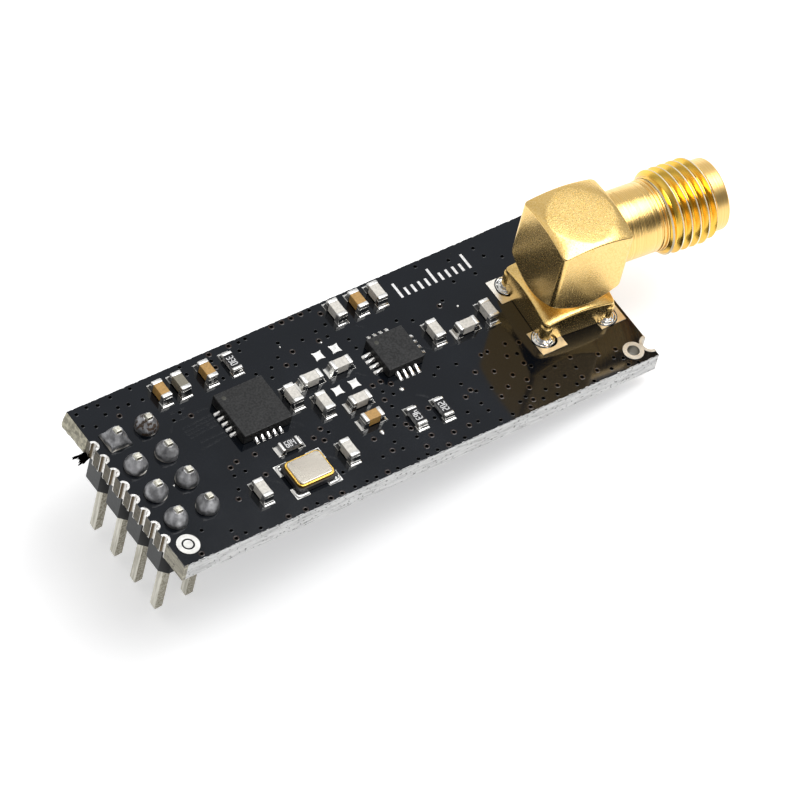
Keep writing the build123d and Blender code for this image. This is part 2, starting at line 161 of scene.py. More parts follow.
def blend_values(tree, factor, first, second):
    """A value mix node's result."""
    return add_node(tree, "Mix", {0: factor, 2: first, 3: second}, data_type="FLOAT").outputs[0]


def rescale(tree, value, from_low, from_high, to_low=0.0, to_high=1.0):
    """A value moved from one range to another, and kept in it."""
    inputs = {0: value, 1: from_low, 2: from_high, 3: to_low, 4: to_high}
    return add_node(tree, "MapRange", inputs).outputs[0]


def solid_colour(colour):
    """A colour with its alpha, or a colour socket as it is."""
    return colour if isinstance(colour, bpy.types.NodeSocket) else (*colour[:3], 1.0)


def toned(colour, share):
    """A colour made darker or lighter."""
    return [share * part for part in colour]


def object_place(tree):
    """Place of the shaded point in the piece's own axes, in metres."""
    return add_node(tree, "TexCoord").outputs["Object"]


def normal_part(tree, axis):
    """One part of the surface's direction: 0 for x, 1 for y, 2 for z."""
    return add_node(tree, "SeparateXYZ", {0: add_node(tree, "NewGeometry").outputs["Normal"]}).outputs[axis]


def bump(tree, height, depth):
    """The normal of a surface with relief."""
    return add_node(tree, "Bump", {"Strength": 1.0, "Distance": depth, "Height": height}).outputs[0]


def start_group(name, inputs, outputs):
    """A shader node group with named sockets, and its two end nodes."""
    tree = bpy.data.node_groups.new(name, "ShaderNodeTree")
    for socket, kind in inputs.items():
        tree.interface.new_socket(socket, in_out="INPUT", socket_type="NodeSocket" + kind)
    for socket, kind in outputs.items():
        tree.interface.new_socket(socket, in_out="OUTPUT", socket_type="NodeSocket" + kind)
    return tree, tree.nodes.new("NodeGroupInput").outputs, tree.nodes.new("NodeGroupOutput").inputs


def grain_group():
    """Fine grain: a value that varies from place to place, and a bumped normal."""
    tree, given, result = start_group("fine_grain", {"Scale": "Float", "Depth": "Float", "Detail": "Float"},
                                      {"Value": "Float", "Normal": "Vector"})
    speckle = add_node(tree, "TexNoise", {"Vector": object_place(tree), "Scale": given["Scale"],
                                          "Detail": given["Detail"]}).outputs[0]
    tree.links.new(speckle, result["Value"])
    tree.links.new(bump(tree, speckle, given["Depth"]), result["Normal"])
    return tree


def patches_group():
    """Patches: a mask of soft-edged spots that cover the share of the surface above a level."""
    tree, given, result = start_group("patches", {"Scale": "Float", "Level": "Float", "Softness": "Float"},
                                      {"Mask": "Float"})
    cloud = add_node(tree, "TexNoise", {"Vector": object_place(tree), "Scale": given["Scale"], "Detail": 4.0})
    top = calculate(tree, "ADD", given["Level"], given["Softness"])
    tree.links.new(rescale(tree, cloud.outputs[0], given["Level"], top), result["Mask"])
    return tree


def rings_group():
    """Turned rings: fine grooves across a direction, uneven in depth, as a value and a normal."""
    tree, given, result = start_group("turned_rings", {"Axis": "Vector", "Pitch": "Float", "Depth": "Float"},
                                      {"Value": "Float", "Normal": "Vector"})
    along = add_node(tree, "VectorMath", {0: object_place(tree), 1: given["Axis"]},
                     operation="DOT_PRODUCT").outputs["Value"]
    turn = calculate(tree, "DIVIDE", calculate(tree, "MULTIPLY", along, 2 * pi), given["Pitch"])
    wave = calculate(tree, "SINE", turn)
    steps = add_node(tree, "TexNoise", {"W": calculate(tree, "DIVIDE", along, given["Pitch"]), "Scale": 0.7,
                                        "Detail": 2.0}, noise_dimensions="1D").outputs[0]
    height = calculate(tree, "MULTIPLY_ADD", steps, 2.0, calculate(tree, "MULTIPLY", wave, 0.25))
    tree.links.new(height, result["Value"])
    tree.links.new(bump(tree, height, given["Depth"]), result["Normal"])
    return tree


def fibres_group():
    """Fibres: noise drawn out along a direction, as a value and a normal."""
    tree, given, result = start_group("fibres", {"Scale": "Vector", "Depth": "Float"},
                                      {"Value": "Float", "Normal": "Vector"})
    drawn = add_node(tree, "VectorMath", {0: object_place(tree), 1: given["Scale"]},
                     operation="MULTIPLY").outputs[0]
    strands = add_node(tree, "TexNoise", {"Vector": drawn, "Scale": 1.0, "Detail": 5.0,
                                          "Roughness": 0.65}).outputs[0]
    tree.links.new(strands, result["Value"])
    tree.links.new(bump(tree, strands, given["Depth"]), result["Normal"])
    return tree


GROUP_MAKERS = {"fine_grain": grain_group, "patches": patches_group, "turned_rings": rings_group,
                "fibres": fibres_group}


def place_group(tree, name, **inputs):
    """A shared node group, built once, placed in a material with its own values."""
    made = tree.nodes.new("ShaderNodeGroup")
    made.node_tree = bpy.data.node_groups.get(name) or GROUP_MAKERS[name]()
    for socket, value in inputs.items():
        link_or_set(tree, made.inputs[socket], value)
    return made.outputs


def fine_grain(tree, scale, depth, detail=3.0):
    """Fine grain with its own values."""
    return place_group(tree, "fine_grain", Scale=scale, Depth=depth, Detail=detail)


def patches(tree, scale, level, softness):
    """The mask of patches with their own values."""
    return place_group(tree, "patches", Scale=scale, Level=level, Softness=softness)["Mask"]


def drawn_apart(tree, grain):
    """A grain's value, drawn apart to the whole range from 0 to 1."""
    return rescale(tree, grain["Value"], 0.4, 0.6)


def sheen(tree, grain, smooth, rough):
    """A roughness that varies with a grain."""
    return rescale(tree, grain["Value"], 0.3, 0.7, smooth, rough)


def connect(tree, shader, **sockets):
    """Links results or sets values on the surface shader, by socket name with spaces as underscores."""
    for name, value in sockets.items():
        link_or_set(tree, shader[name.replace("_", " ")], value)


# Finishes: each function fills one material's tree round its surface shader, with lengths in metres

RAGGED_EDGE = 0.11 * MM
BARE_RIM = 0.03 * MM
WORN_END = 0.3 * MM
WORN_FROM, WORN_TO = 4.7 * MM, 5.4 * MM


def mask_and_fibre(tree, shader, colours):
    """The board: glossy black mask on both faces, pale rough glass fibre at the cut edges."""
    place = add_node(tree, "SeparateXYZ", {0: object_place(tree)}).outputs
    flat = rescale(tree, calculate(tree, "ABSOLUTE", normal_part(tree, 2)), 0.4, 0.6)
    not_flat = calculate(tree, "SUBTRACT", 1.0, flat)
    from_middle = calculate(tree, "ABSOLUTE", place[1])
    chip_out = rescale(tree, fine_grain(tree, 2600.0, 0.0, 4.0)["Value"], 0.35, 0.75, 0.0, RAGGED_EDGE)
    lip = calculate(tree, "GREATER_THAN", place[2], calculate(tree, "SUBTRACT", BOARD_HIGH.z * MM, chip_out))
    bare_rim = calculate(tree, "GREATER_THAN", calculate(tree, "ADD", from_middle, chip_out),
                         BOARD_HIGH.y * MM + BARE_RIM)
    masked = calculate(tree, "MULTIPLY", flat, calculate(tree, "SUBTRACT", 1.0, bare_rim))
    masked = calculate(tree, "MAXIMUM", masked, calculate(tree, "MULTIPLY", lip, not_flat))
    tone = patches(tree, 260.0, 0.4, 0.3)
    mask_colour = blend_colours(tree, tone, colours.mask, toned(colours.mask, 1.35))
    strands = place_group(tree, "fibres", Scale=(520.0, 520.0, 3400.0), Depth=0.00005)
    fibre_colour = blend_colours(tree, rescale(tree, strands["Value"], 0.36, 0.56),
                                 toned(colours.fibre, 0.7), colours.fibre)
    end_face = calculate(tree, "LESS_THAN", place[0], BOARD_LOW.x * MM + WORN_END)
    snapped = rescale(tree, from_middle, WORN_FROM, WORN_TO)
    worn = blend_colours(tree, snapped, (0.15, 0.125, 0.075), (0.62, 0.58, 0.45))
    worn = blend_colours(tree, rescale(tree, strands["Value"], 0.4, 0.6, 0.6, 0.0), worn, (0.07, 0.055, 0.03))
    fibre_colour = blend_colours(tree, calculate(tree, "MULTIPLY", end_face, 0.9), fibre_colour, worn)
    pits = calculate(tree, "MULTIPLY", patches(tree, 4200.0, 0.6, 0.05), 0.85)
    fibre_colour = blend_colours(tree, pits, fibre_colour, (0.09, 0.085, 0.08))
    skin = fine_grain(tree, 4200.0, 0.0000004, 2.0)
    normal = add_node(tree, "Mix", {0: masked, 4: strands["Normal"], 5: skin["Normal"]}, data_type="VECTOR")
    connect(tree, shader, Base_Color=blend_colours(tree, masked, fibre_colour, mask_colour),
            Roughness=blend_values(tree, masked, 0.8, rescale(tree, tone, 0.0, 1.0, 0.07, 0.1)),
            Normal=normal.outputs[1], IOR=1.5)


def bare_metal(tree, shader, colour, smooth, rough, scale, depth, spread=0.8, dirt=None):
    """Bare metal with an uneven sheen, a little relief and, where given, spots of another colour."""
    grain = fine_grain(tree, scale, depth)
    tint = blend_colours(tree, patches(tree, scale * 0.35, 0.42, 0.2), colour, toned(colour, spread))
    metallic = 1.0
    if dirt:
        spots = patches(tree, scale * 0.8, 0.475, 0.06)
        tint = blend_colours(tree, spots, tint, dirt)
        metallic = calculate(tree, "SUBTRACT", 1.0, calculate(tree, "MULTIPLY", spots, 0.8))
    connect(tree, shader, Base_Color=tint, Metallic=metallic, Normal=grain["Normal"],
            Roughness=sheen(tree, grain, smooth, rough))


def flat_gold(tree, shader, colours):
    """Gold plating on the jack's body: satin flats with a fine cloudy grain."""
    grain = fine_grain(tree, 11000.0, 0.0000048)
    deep = (0.9 * colours.gold[0], 0.83 * colours.gold[1], 0.62 * colours.gold[2])
    tint = blend_colours(tree, patches(tree, 9000.0, 0.45, 0.2), colours.gold, deep)
    connect(tree, shader, Base_Color=tint, Metallic=1.0, Normal=grain["Normal"],
            Roughness=sheen(tree, grain, 0.19, 0.29))


def turned_gold(tree, shader, colours, pitch, depth, smooth, rough, blue_share=1.0):
    """Gold plating on turned surfaces, with rings round the barrel's axis, deeper in tone with less blue."""
    axis = (cos(JACK_TURN), sin(JACK_TURN), 0.0)
    rings = place_group(tree, "turned_rings", Axis=axis, Pitch=pitch, Depth=depth)
    gold = (colours.gold[0], colours.gold[1] * blue_share ** 0.1, colours.gold[2] * blue_share)
    deep = (0.95 * gold[0], 0.88 * gold[1], 0.75 * gold[2])
    connect(tree, shader, Metallic=1.0, Normal=rings["Normal"],
            Base_Color=blend_colours(tree, rescale(tree, rings["Value"], 0.4, 1.4), gold, deep),
            Roughness=rescale(tree, rings["Value"], 0.4, 1.4, smooth, rough))


def moulded(tree, shader, colour, roughness, scale, depth, gloss=0.5, contrast=0.15):
    """Moulded plastic or fired ceramic with a fine grain and a slightly uneven tone."""
    grain = fine_grain(tree, scale, depth)
    speckle = calculate(tree, "MULTIPLY_ADD", patches(tree, scale * 0.2, 0.4, 0.3), 0.3,
                        rescale(tree, grain["Value"], 0.4, 0.6, 0.0, 0.7))
    tint = blend_colours(tree, speckle, toned(colour, 1 + contrast), toned(colour, 1 - contrast))
    connect(tree, shader, Base_Color=tint, Normal=grain["Normal"], Specular_IOR_Level=gloss,
            Roughness=sheen(tree, grain, roughness - 0.05, roughness + 0.05))


def front_shade_mask(tree):
    """How far a face is turned to the front, from 0 to 1: the mask for painted shade on the faces that turn
    to the front.
    """
    return rescale(tree, normal_part(tree, 1), -0.25, -0.75)


def half_hole_tin(tree, shader, colours):
    """Plating of the half-holes: bright rims, and brownish walls towards the front, where the brown is
    painted shade.
    """
    grain = fine_grain(tree, 3800.0, 0.000004, 2.0)
    bright = blend_colours(tree, drawn_apart(tree, grain), (0.62, 0.6, 0.56),
                           (0.85, 0.84, 0.82))
    # Painted shade: the walls that turn to the front get a dark brown in place of the tin.
    connect(tree, shader, Base_Color=blend_colours(tree, front_shade_mask(tree), bright, (0.1, 0.075, 0.045)),
            Roughness=sheen(tree, grain, 0.24, 0.36), Metallic=1.0,
            Normal=grain["Normal"])


def black_glaze(tree, shader, colours):
    """Resistor body: glossy black glaze over a pale ceramic that shows on its sides."""
    grain = fine_grain(tree, 3800.0, 0.000002, 2.0)
    pale = blend_colours(tree, drawn_apart(tree, grain), (0.2, 0.2, 0.2), (0.5, 0.5, 0.49))
    covered = rescale(tree, normal_part(tree, 2), 0.1, 0.3)
    connect(tree, shader, Base_Color=blend_colours(tree, covered, pale, (0.006, 0.006, 0.007)),
            Roughness=blend_values(tree, covered, 0.5, 0.16), Normal=grain["Normal"])


def header_plastic(tree, shader, colours):
    """Header plastic: satin, with painted shade that makes the faces turning to the front nearly black and
    less shiny.
    """
    grain = fine_grain(tree, 4200.0, 0.000006)
    front = front_shade_mask(tree)
    tint = blend_colours(tree, drawn_apart(tree, grain), colours.header,
                         toned(colours.header, 0.75))
    # Painted shade: the faces that turn to the front are made nearly black and less shiny.
    connect(tree, shader, Base_Color=blend_colours(tree, front, tint, (0.004, 0.004, 0.004)),
            Roughness=0.42, Normal=grain["Normal"], Specular_IOR_Level=blend_values(tree, front, 0.45, 0.12))


def plated_pin(tree, shader, colours):
    """Plated pin: warm silver with streaks drawn along it, darker in patches on its front, which is painted
    shade.
    """
    streaks = place_group(tree, "fibres", Scale=(4200.0, 4200.0, 350.0), Depth=0.000003)
    tint = blend_colours(tree, drawn_apart(tree, streaks), (0.45, 0.43, 0.36),
                         (0.72, 0.7, 0.62))
    # Painted shade: darker patches that cover the pin's front faces.
    shaded_front_tint = blend_colours(tree, patches(tree, 7000.0, 0.44, 0.12), (0.42, 0.4, 0.33), (0.22, 0.2, 0.15))
    connect(tree, shader, Base_Color=blend_colours(tree, front_shade_mask(tree), tint, shaded_front_tint), Metallic=1.0,
            Normal=streaks["Normal"], Roughness=sheen(tree, streaks, 0.28, 0.45))


def pale_floor(tree, shader, colours):
    """Pale matte floor, see-through from below, brighter to the camera and in reflections."""
    speckle = fine_grain(tree, 900.0, 0.0, 2.0)["Value"]
    path = add_node(tree, "LightPath").outputs
    seen = calculate(tree, "MAXIMUM", path["Is Camera Ray"], path["Is Glossy Ray"])
    seen = calculate(tree, "MAXIMUM", seen, path["Is Transmission Ray"])
    behind = add_node(tree, "NewGeometry").outputs["Backfacing"]
    connect(tree, shader, Base_Color=blend_colours(tree, speckle, colours.floor, toned(colours.floor, 0.985)),
            Roughness=0.9, Specular_IOR_Level=0.1, Emission_Strength=FLOOR_GLOW,
            Emission_Color=blend_colours(tree, seen, (0, 0, 0), (1, 1, 1)),
            Alpha=calculate(tree, "SUBTRACT", 1.0, behind))


# Bare metals: colour or its setting, lowest and highest roughness, scale and depth of the grain, spread, dirt
METALS = {
    "tin": ("tin", 0.26, 0.42, 2400.0, 0.000012),
    "lead_tin": ((0.92, 0.91, 0.89), 0.2, 0.28, 2400.0, 0.000006),
    "mark_tin": ((0.68, 0.67, 0.64), 0.34, 0.5, 3400.0, 0.00001),
    "ring_tin": ((0.5, 0.48, 0.43), 0.34, 0.5, 3400.0, 0.00001),
    "land_tin": ((0.82, 0.78, 0.7), 0.3, 0.42, 1700.0, 0.000006),
    "solder": ("solder", 0.4, 0.56, 4200.0, 0.00005, 0.45),
    "fluxed_solder": ("solder", 0.4, 0.56, 4200.0, 0.00003, 0.45, (0.07, 0.045, 0.03)),
    "wet_solder": ("tin", 0.08, 0.16, 1900.0, 0.00002),
    # Paler, rougher gold on the thread's crests: a painted highlight, the bright line that light draws along
    # each crest.
    "gold_crest": ((1.0, 0.9, 0.66), 0.42, 0.5, 3000.0, 0.000002),
    "lid": ((0.62, 0.57, 0.49), 0.17, 0.2, 5200.0, 0.0000015, 0.97),
    "ring": ((1.0, 0.64, 0.14), 0.15, 0.25, 3000.0, 0.000004),
}
# Turned gold: pitch and depth of the rings, lowest and highest roughness, share of blue kept
TURNED = {
    "gold_neck": (0.00011, 0.000007, 0.2, 0.3),
    # The thread keeps less blue: painted reflection, the deeper yellow of light bounced between its flanks.
    "gold_thread": (0.0003, 0.000002, 0.14, 0.22, 0.4),
    "gold_collar": (0.0002, 0.000003, 0.3, 0.36),
}
# Mouldings and ceramics: colour or its setting, roughness, scale and depth of the grain, gloss, contrast
MOULDED = {
    "moulding": ("moulding", 0.42, 6500.0, 0.00001, 0.3, 0.85),
    "broken_fibre": ((0.55, 0.52, 0.4), 0.8, 3400.0, 0.00004, 0.5, 0.45),
    "insulator": ((0.82, 0.82, 0.79), 0.4, 2500.0, 0.000004),
    "tan": ((0.46, 0.26, 0.07), 0.38, 5200.0, 0.000006),
    "olive": ((0.22, 0.2, 0.15), 0.38, 5200.0, 0.000006),
    "pale": ((0.68, 0.65, 0.59), 0.34, 5200.0, 0.000006),
    "dim_olive": ((0.035, 0.034, 0.024), 0.45, 5200.0, 0.000004),
    "ceramic": ((0.012, 0.011, 0.014), 0.4, 5200.0, 0.000006),
    "print": ((0.8, 0.8, 0.8), 0.5, 5200.0, 0.000004),
    "mask": ("mask", 0.12, 3000.0, 0.0),
    "brown_mask": ((0.026, 0.016, 0.012), 0.12, 3000.0, 0.0),
    # Near-black: the burr's own black, and painted shade in the small holes and round the legs' holes.
    "hollow": ((0.001, 0.001, 0.001), 0.9, 3000.0, 0.0, 0.0),
}
SPECIAL = {"board": mask_and_fibre, "half_holes": half_hole_tin, "gold_satin": flat_gold,
           "header": header_plastic, "glaze": black_glaze, "pin": plated_pin, "floor": pale_floor}


def finish_named(name):
    """A material by the name of its finish, built once."""
    key = "finish_" + name
    if key in bpy.data.materials:
        return bpy.data.materials[key]
    material = bpy.data.materials.new(key)
    material.use_nodes = True
    tree = material.node_tree
    shader = tree.nodes["Principled BSDF"].inputs
    colours = bpy.context.scene.module_colours
    if name in SPECIAL:
        SPECIAL[name](tree, shader, colours)
    elif name in TURNED:
        turned_gold(tree, shader, colours, *TURNED[name])
    else:
        maker, (colour, *values) = (bare_metal, METALS[name]) if name in METALS else (moulded, MOULDED[name])
        maker(tree, shader, getattr(colours, colour) if isinstance(colour, str) else colour, *values)
    return material


# Meshes, in millimetres

EDGE_STEPS = 3
LEAST_CORNER = 0.004


class Surface:
    """Points and faces of one mesh."""

    def __init__(self):
        self.points = []
        self.faces = []

    def loft(self, rings, close_start=True, close_end=True):
        """A skin through rings of equal count, each one turning left seen from its far side."""
        start = len(self.points)
        count = len(rings[0])
        for ring in rings:
            self.points.extend(ring)
        for row in range(len(rings) - 1):
            low = start + row * count
            high = low + count
            for index in range(count):
                following = (index + 1) % count
                self.faces.append((low + index, low + following, high + following, high + index))
        if close_start:
            self.faces.append(tuple(reversed(range(start, start + count))))
        if close_end:
            last = start + (len(rings) - 1) * count
            self.faces.append(tuple(range(last, last + count)))

    def rounded_box(self, low, high, radius, place=Matrix.Identity(4)):
        """A box with all its edges rounded."""
        middle = [(a + b) / 2 for a, b in zip(low, high)]
        half = [(b - a) / 2 for a, b in zip(low, high)]
        radius = min(radius, *half)
        rings = []
        turns = [pi / 2 * step / EDGE_STEPS for step in range(EDGE_STEPS + 1)]
        levels = [(-half[2] + radius * (1 - cos(turn)), radius * (1 - sin(turn))) for turn in turns]
        levels += [(-z, inset) for z, inset in reversed(levels)]
        for z, inset in levels:
            corner = max(radius - inset, LEAST_CORNER)
            outline = rounded_outline(half[0] - inset, half[1] - inset, corner, EDGE_STEPS)
            rings.append([place @ Vector((middle[0] + x, middle[1] + y, middle[2] + z)) for x, y in outline])
        self.loft(rings)

    def turned(self, x, y, profile, count=24, base=0.0):
        """A body of revolution that stands upright on a base, from its foot (radius, height) to its top."""
        self.loft([[point + Vector((x, y, base)) for point in circle(radius, count, z)]
                   for radius, z in profile])

    def ridge(self, line, width, crown, height, base):
        """A low ridge along a line on the board."""
        rings = []
        for index, point in enumerate(line):
            before, after = line[max(index - 1, 0)], line[min(index + 1, len(line) - 1)]
            along = Vector((after[0] - before[0], after[1] - before[1], 0)).normalized()
            side = Vector((-along.y, along.x, 0))
            place = Vector((point[0], point[1], base))
            lift = Vector((0, 0, height))
            rings.append([place + side * (width / 2), place + side * (crown / 2) + lift,
                          place - side * (crown / 2) + lift, place - side * (width / 2)])
        self.loft(rings)

    def moved(self, place):
        """The same surface with its points moved."""
        self.points = [place @ point for point in self.points]
        return self


def rounded_outline(half_x, half_y, radius, steps):
    """Points of a rounded rectangle, turning left."""
    outline = []
    for quarter, (side_x, side_y) in enumerate(((1, 1), (-1, 1), (-1, -1), (1, -1))):
        for step in range(steps + 1):
            turn = pi / 2 * (quarter + step / steps)
            outline.append((side_x * (half_x - radius) + radius * cos(turn),
                            side_y * (half_y - radius) + radius * sin(turn)))
    return outline


def circle(radius, count, z=0.0):
    """A level ring of points."""
    turns = [2 * pi * index / count for index in range(count)]
    return [Vector((radius * cos(turn), radius * sin(turn), z)) for turn in turns]


def from_side(turn):
    """Angle between a direction and the middle of the nearest side of a square."""
    return abs(((turn + pi / 4) % (pi / 2)) - pi / 4)


def make_piece(name, surface, finish, replaced=(), sharp_over=50):
    """Turns a surface into a piece that rides on the module."""
    mesh = bpy.data.meshes.new(name)
    mesh.from_pydata([point * MM for point in surface.points], [], surface.faces)
    mesh.shade_smooth()
    mesh.set_sharp_from_angle(angle=radians(sharp_over))
    piece = bpy.data.objects.new(name, mesh)
    bpy.context.scene.collection.objects.link(piece)
    mesh.materials.append(finish_named(finish))
    piece.modifiers.new("even_shading", "WEIGHTED_NORMAL").keep_sharp = True
    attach(piece, BODY)
    if replaced:
        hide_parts(*replaced)


def dress(names, finish, rounding=0.0):
    """Gives solids of the frame their finish, and rounds their edges where asked."""
    for name in names:
        solid = frame["nodes"][name]
        solid.data.materials.clear()
        solid.data.materials.append(finish_named(finish))
        if rounding:
            weld = solid.modifiers.new("weld", "WELD")
            weld.merge_threshold = 0.001 * MM
            bevel = solid.modifiers.new("rounding", "BEVEL")
            bevel.width = rounding
            bevel.segments = 2
            bevel.limit_method = "ANGLE"
            bevel.angle_limit = radians(30)
            solid.modifiers.new("even_shading", "WEIGHTED_NORMAL").keep_sharp = True


# Camera and stage, in millimetres and degrees

CAMERA_TARGET = (18.788, -1.953, 3.552)
CAMERA_DISTANCE = 552.96
CAMERA_HEADING = -136.289
CAMERA_ELEVATION = 50.688
CAMERA_ROLL = 15.148
LENS = 360.24
SENSOR = 36.0
CLIP_START, CLIP_END = 0.01, 10.0
FLOOR_GLOW = 0.48
FLOOR_HALF = 600
FLOOR_GAP = 0.01
LEG_INSET = 0.3


def make_camera():
    """The camera, from its target, distance and three angles."""
    heading, elevation, roll = (radians(angle) for angle in (CAMERA_HEADING, CAMERA_ELEVATION, CAMERA_ROLL))
    back = Vector((cos(elevation) * cos(heading), cos(elevation) * sin(heading), sin(elevation)))
    level = Vector((0, 0, 1)).cross(back).normalized()
    upright = back.cross(level)
    right = level * cos(roll) + upright * sin(roll)
    up = back.cross(right)
    data = bpy.data.cameras.new("camera")
    data.lens = LENS
    data.sensor_width = SENSOR
    data.clip_start, data.clip_end = CLIP_START, CLIP_END
    camera = bpy.data.objects.new("camera", data)
    turn = Matrix((right, up, back)).transposed().to_4x4()
    camera.matrix_world = Matrix.Translation((Vector(CAMERA_TARGET) + back * CAMERA_DISTANCE) * MM) @ turn
    bpy.context.scene.collection.objects.link(camera)
    bpy.context.scene.camera = camera


def make_floor():
    """A flat floor that the pins' feet and the jack's far legs stand on."""
    pin_foot = Vector((node_middle(PINS[-1]).x, 0, node_box(PINS[-1])[0].z))
    leg_foot = Vector((node_box("jack_body")[1].x - LEG_INSET, 0, node_box("jack_body")[0].z))
    slope = (leg_foot - pin_foot).normalized() * FLOOR_HALF
    across = Vector((0, FLOOR_HALF, 0))
    middle = pin_foot - Vector((-slope.z, 0, slope.x)).normalized() * FLOOR_GAP
    corners = [(middle + slope * u + across * v) * MM for u, v in ((-1, -1), (1, -1), (1, 1), (-1, 1))]
    mesh = bpy.data.meshes.new("floor")
    mesh.from_pydata(corners, [], [(0, 1, 2, 3)])
    mesh.materials.append(finish_named("floor"))
    floor = bpy.data.objects.new("floor", mesh)
    bpy.context.scene.collection.objects.link(floor)


LAMP_PLACE = (168.5, -23.6, 350)
LAMP_SIZE = (257, 311)
LAMP_TURN = -46.3
LAMP_POWER = 1.15


def make_lamp():
    """The wide soft box that hangs level over the module's right side."""
    data = bpy.data.lights.new("overhead_soft_box", "AREA")
    data.shape = "RECTANGLE"
    data.size, data.size_y = (side * MM for side in LAMP_SIZE)
    data.energy = LAMP_POWER
    lamp = bpy.data.objects.new("overhead_soft_box", data)
    lamp.location = Vector(LAMP_PLACE) * MM
    lamp.rotation_euler = (0, 0, radians(LAMP_TURN))
    bpy.context.scene.collection.objects.link(lamp)


# Parts of the surroundings: heading and elevation of the middle, inner and outer radius in degrees, colour
SURROUNDINGS = (
    (60, 25, 15, 27, (0.75, 0.75, 0.75)),
    (140, 50, 28, 44, (0.85, 0.84, 0.82)),
    (-136, 30, 32, 62, (0.22, 0.22, 0.23)),
    (-57, 18, 24, 42, (0.08, 0.08, 0.08)),
    (-95, 10, 12, 26, (1.5, 1.5, 1.5)),
)
SKY = (0.47, 0.485, 0.51)
GROUND = (0.75, 0.75, 0.75)
HORIZON_SOFTNESS = 0.06


def make_world():
    """Surroundings of the stage: white to the camera, else a dim sky with lighter and darker parts."""
    world = bpy.data.worlds.new("surroundings")
    world.use_nodes = True
    bpy.context.scene.world = world
    tree = world.node_tree
    direction = add_node(tree, "TexCoord").outputs["Generated"]
    height = add_node(tree, "SeparateXYZ", {0: direction}).outputs[2]
    tint = SKY
    for heading, elevation, inner, outer, colour in SURROUNDINGS:
        heading, elevation = radians(heading), radians(elevation)
        middle = (cos(elevation) * cos(heading), cos(elevation) * sin(heading), sin(elevation))
        nearness = add_node(tree, "VectorMath", {0: direction, 1: middle}, operation="DOT_PRODUCT")
        share = rescale(tree, nearness.outputs["Value"], cos(radians(outer)), cos(radians(inner)))
        tint = blend_colours(tree, share, tint, colour)
    tint = blend_colours(tree, rescale(tree, height, -HORIZON_SOFTNESS, 0.0), GROUND, tint)
    seen = add_node(tree, "LightPath").outputs["Is Camera Ray"]
    tint = blend_colours(tree, seen, tint, (1, 1, 1))
    tree.links.new(tint, tree.nodes["Background"].inputs[0])


class MODULE_OT_stage(bpy.types.Operator):
    """Makes the floor, the lamp, the surroundings and the camera"""
    bl_idname = "radio_module.stage"
    bl_label = "Stage"

    def execute(self, context):
        context.scene.view_settings.view_transform = "Standard"
        make_camera()
        make_floor()
        make_lamp()
        make_world()
        return {"FINISHED"}


# Board, in millimetres

MARK_BAR_COUNT = 11
MARK_START, MARK_END = 23.75, 29.6
MARK_FOOT = 5.1
MARK_BAR_WIDTH = 0.2
MARK_SHORT = 0.7
MARK_LONG = 1.35
PRINT_HEIGHT = 0.015
PRINT_CORNER = 0.06
# Place and radius of each tinned dot, and their outline: share of the radius, height
TINNED_DOTS = ((15.7, -4.0, 0.16), (15.7, -4.15, 0.13), (19.07, -1.57, 0.17), (13.47, 5.37, 0.07),
               (16.3, 4.4, 0.1), (26.8, 2.7, 0.1), (25.75, 3.4, 0.08), (0.2, -1.3, 0.08))
TINNED_OUTLINE = ((1.0, 0.0), (0.85, 0.04), (0.4, 0.06))
# Holes filled with mask, read off the photo area by area
PLAIN_HOLES = (
    # Back edge
    (-1.5, 7.1), (0.45, 7.1), (2.1, 7.1), (6.2, 7.1), (11.1, 7.05), (11.7, 7.1), (17.15, 7.15), (26.1, 7.0),
    # Behind the header
    (-2.45, 6.9), (-0.7, 6.9), (-0.65, 6.0), (0.45, 6.1), (1.25, 6.0), (2.35, 5.9), (-2.6, 5.85), (-1.8, 5.4),
    # Left of the transceiver
    (6.3, 6.35), (8.5, 6.55), (8.4, 4.9), (4.05, 3.8), (3.3, 3.4), (4.4, -2.5), (5.3, -2.5), (4.0, -3.6),
    # Behind the chips
    (10.75, 6.4), (10.65, 4.15), (13.55, 5.75), (15.25, 5.2), (16.5, 5.4), (17.45, 5.6), (12.85, 4.7),
    (17.0, 4.65), (11.95, 4.15), (13.6, 3.6), (11.5, 3.4), (18.2, 3.75), (18.25, 2.9), (22.15, 3.6),
    (23.2, 3.1), (30.75, 6.5), (28.55, 6.4), (31.05, 5.6), (32.2, 4.95), (27.8, 4.65), (29.6, 4.55),
    (26.1, 3.6),
    # In front of the amplifier
    (17.75, -1.15), (18.3, -1.65), (22.45, -1.15), (23.75, -1.5), (21.8, -1.6), (12.35, -2.35), (17.6, -2.5),
    (17.45, -3.4), (23.05, -3.1), (23.65, -4.1), (16.8, -3.95), (16.0, -5.15), (19.7, -4.7), (17.65, -5.5),
    (23.35, -5.15), (22.05, -5.35), (14.55, -5.85), (16.2, -5.9), (23.45, -5.9), (22.25, -6.35), (11.3, -5.7),
    # Front edge
    (-0.2, -5.35), (1.6, -6.3), (2.4, -6.9), (3.55, -7.05), (8.2, -7.1), (11.35, -7.1), (12.35, -7.1),
    (13.15, -7.1), (14.9, -7.15), (16.65, -7.15), (17.45, -7.1), (18.3, -7.1), (20.6, -7.1),
    (23.75, -7.0), (24.8, -6.95), (28.65, -6.95), (31.65, -7.2), (34.7, -7.1), (35.45, -7.25),
    # Beside the jack
    (28.15, -2.7), (24.8, -4.35), (28.4, -4.05), (29.9, -4.85), (28.7, -5.3), (31.2, -5.6), (30.05, -5.85),
    (26.5, -6.1), (28.15, -6.2), (25.9, -6.3), (34.1, -6.1), (34.7, -6.45), (27.55, -6.8),
    (30.4, -6.85), (33.4, -6.85),
)
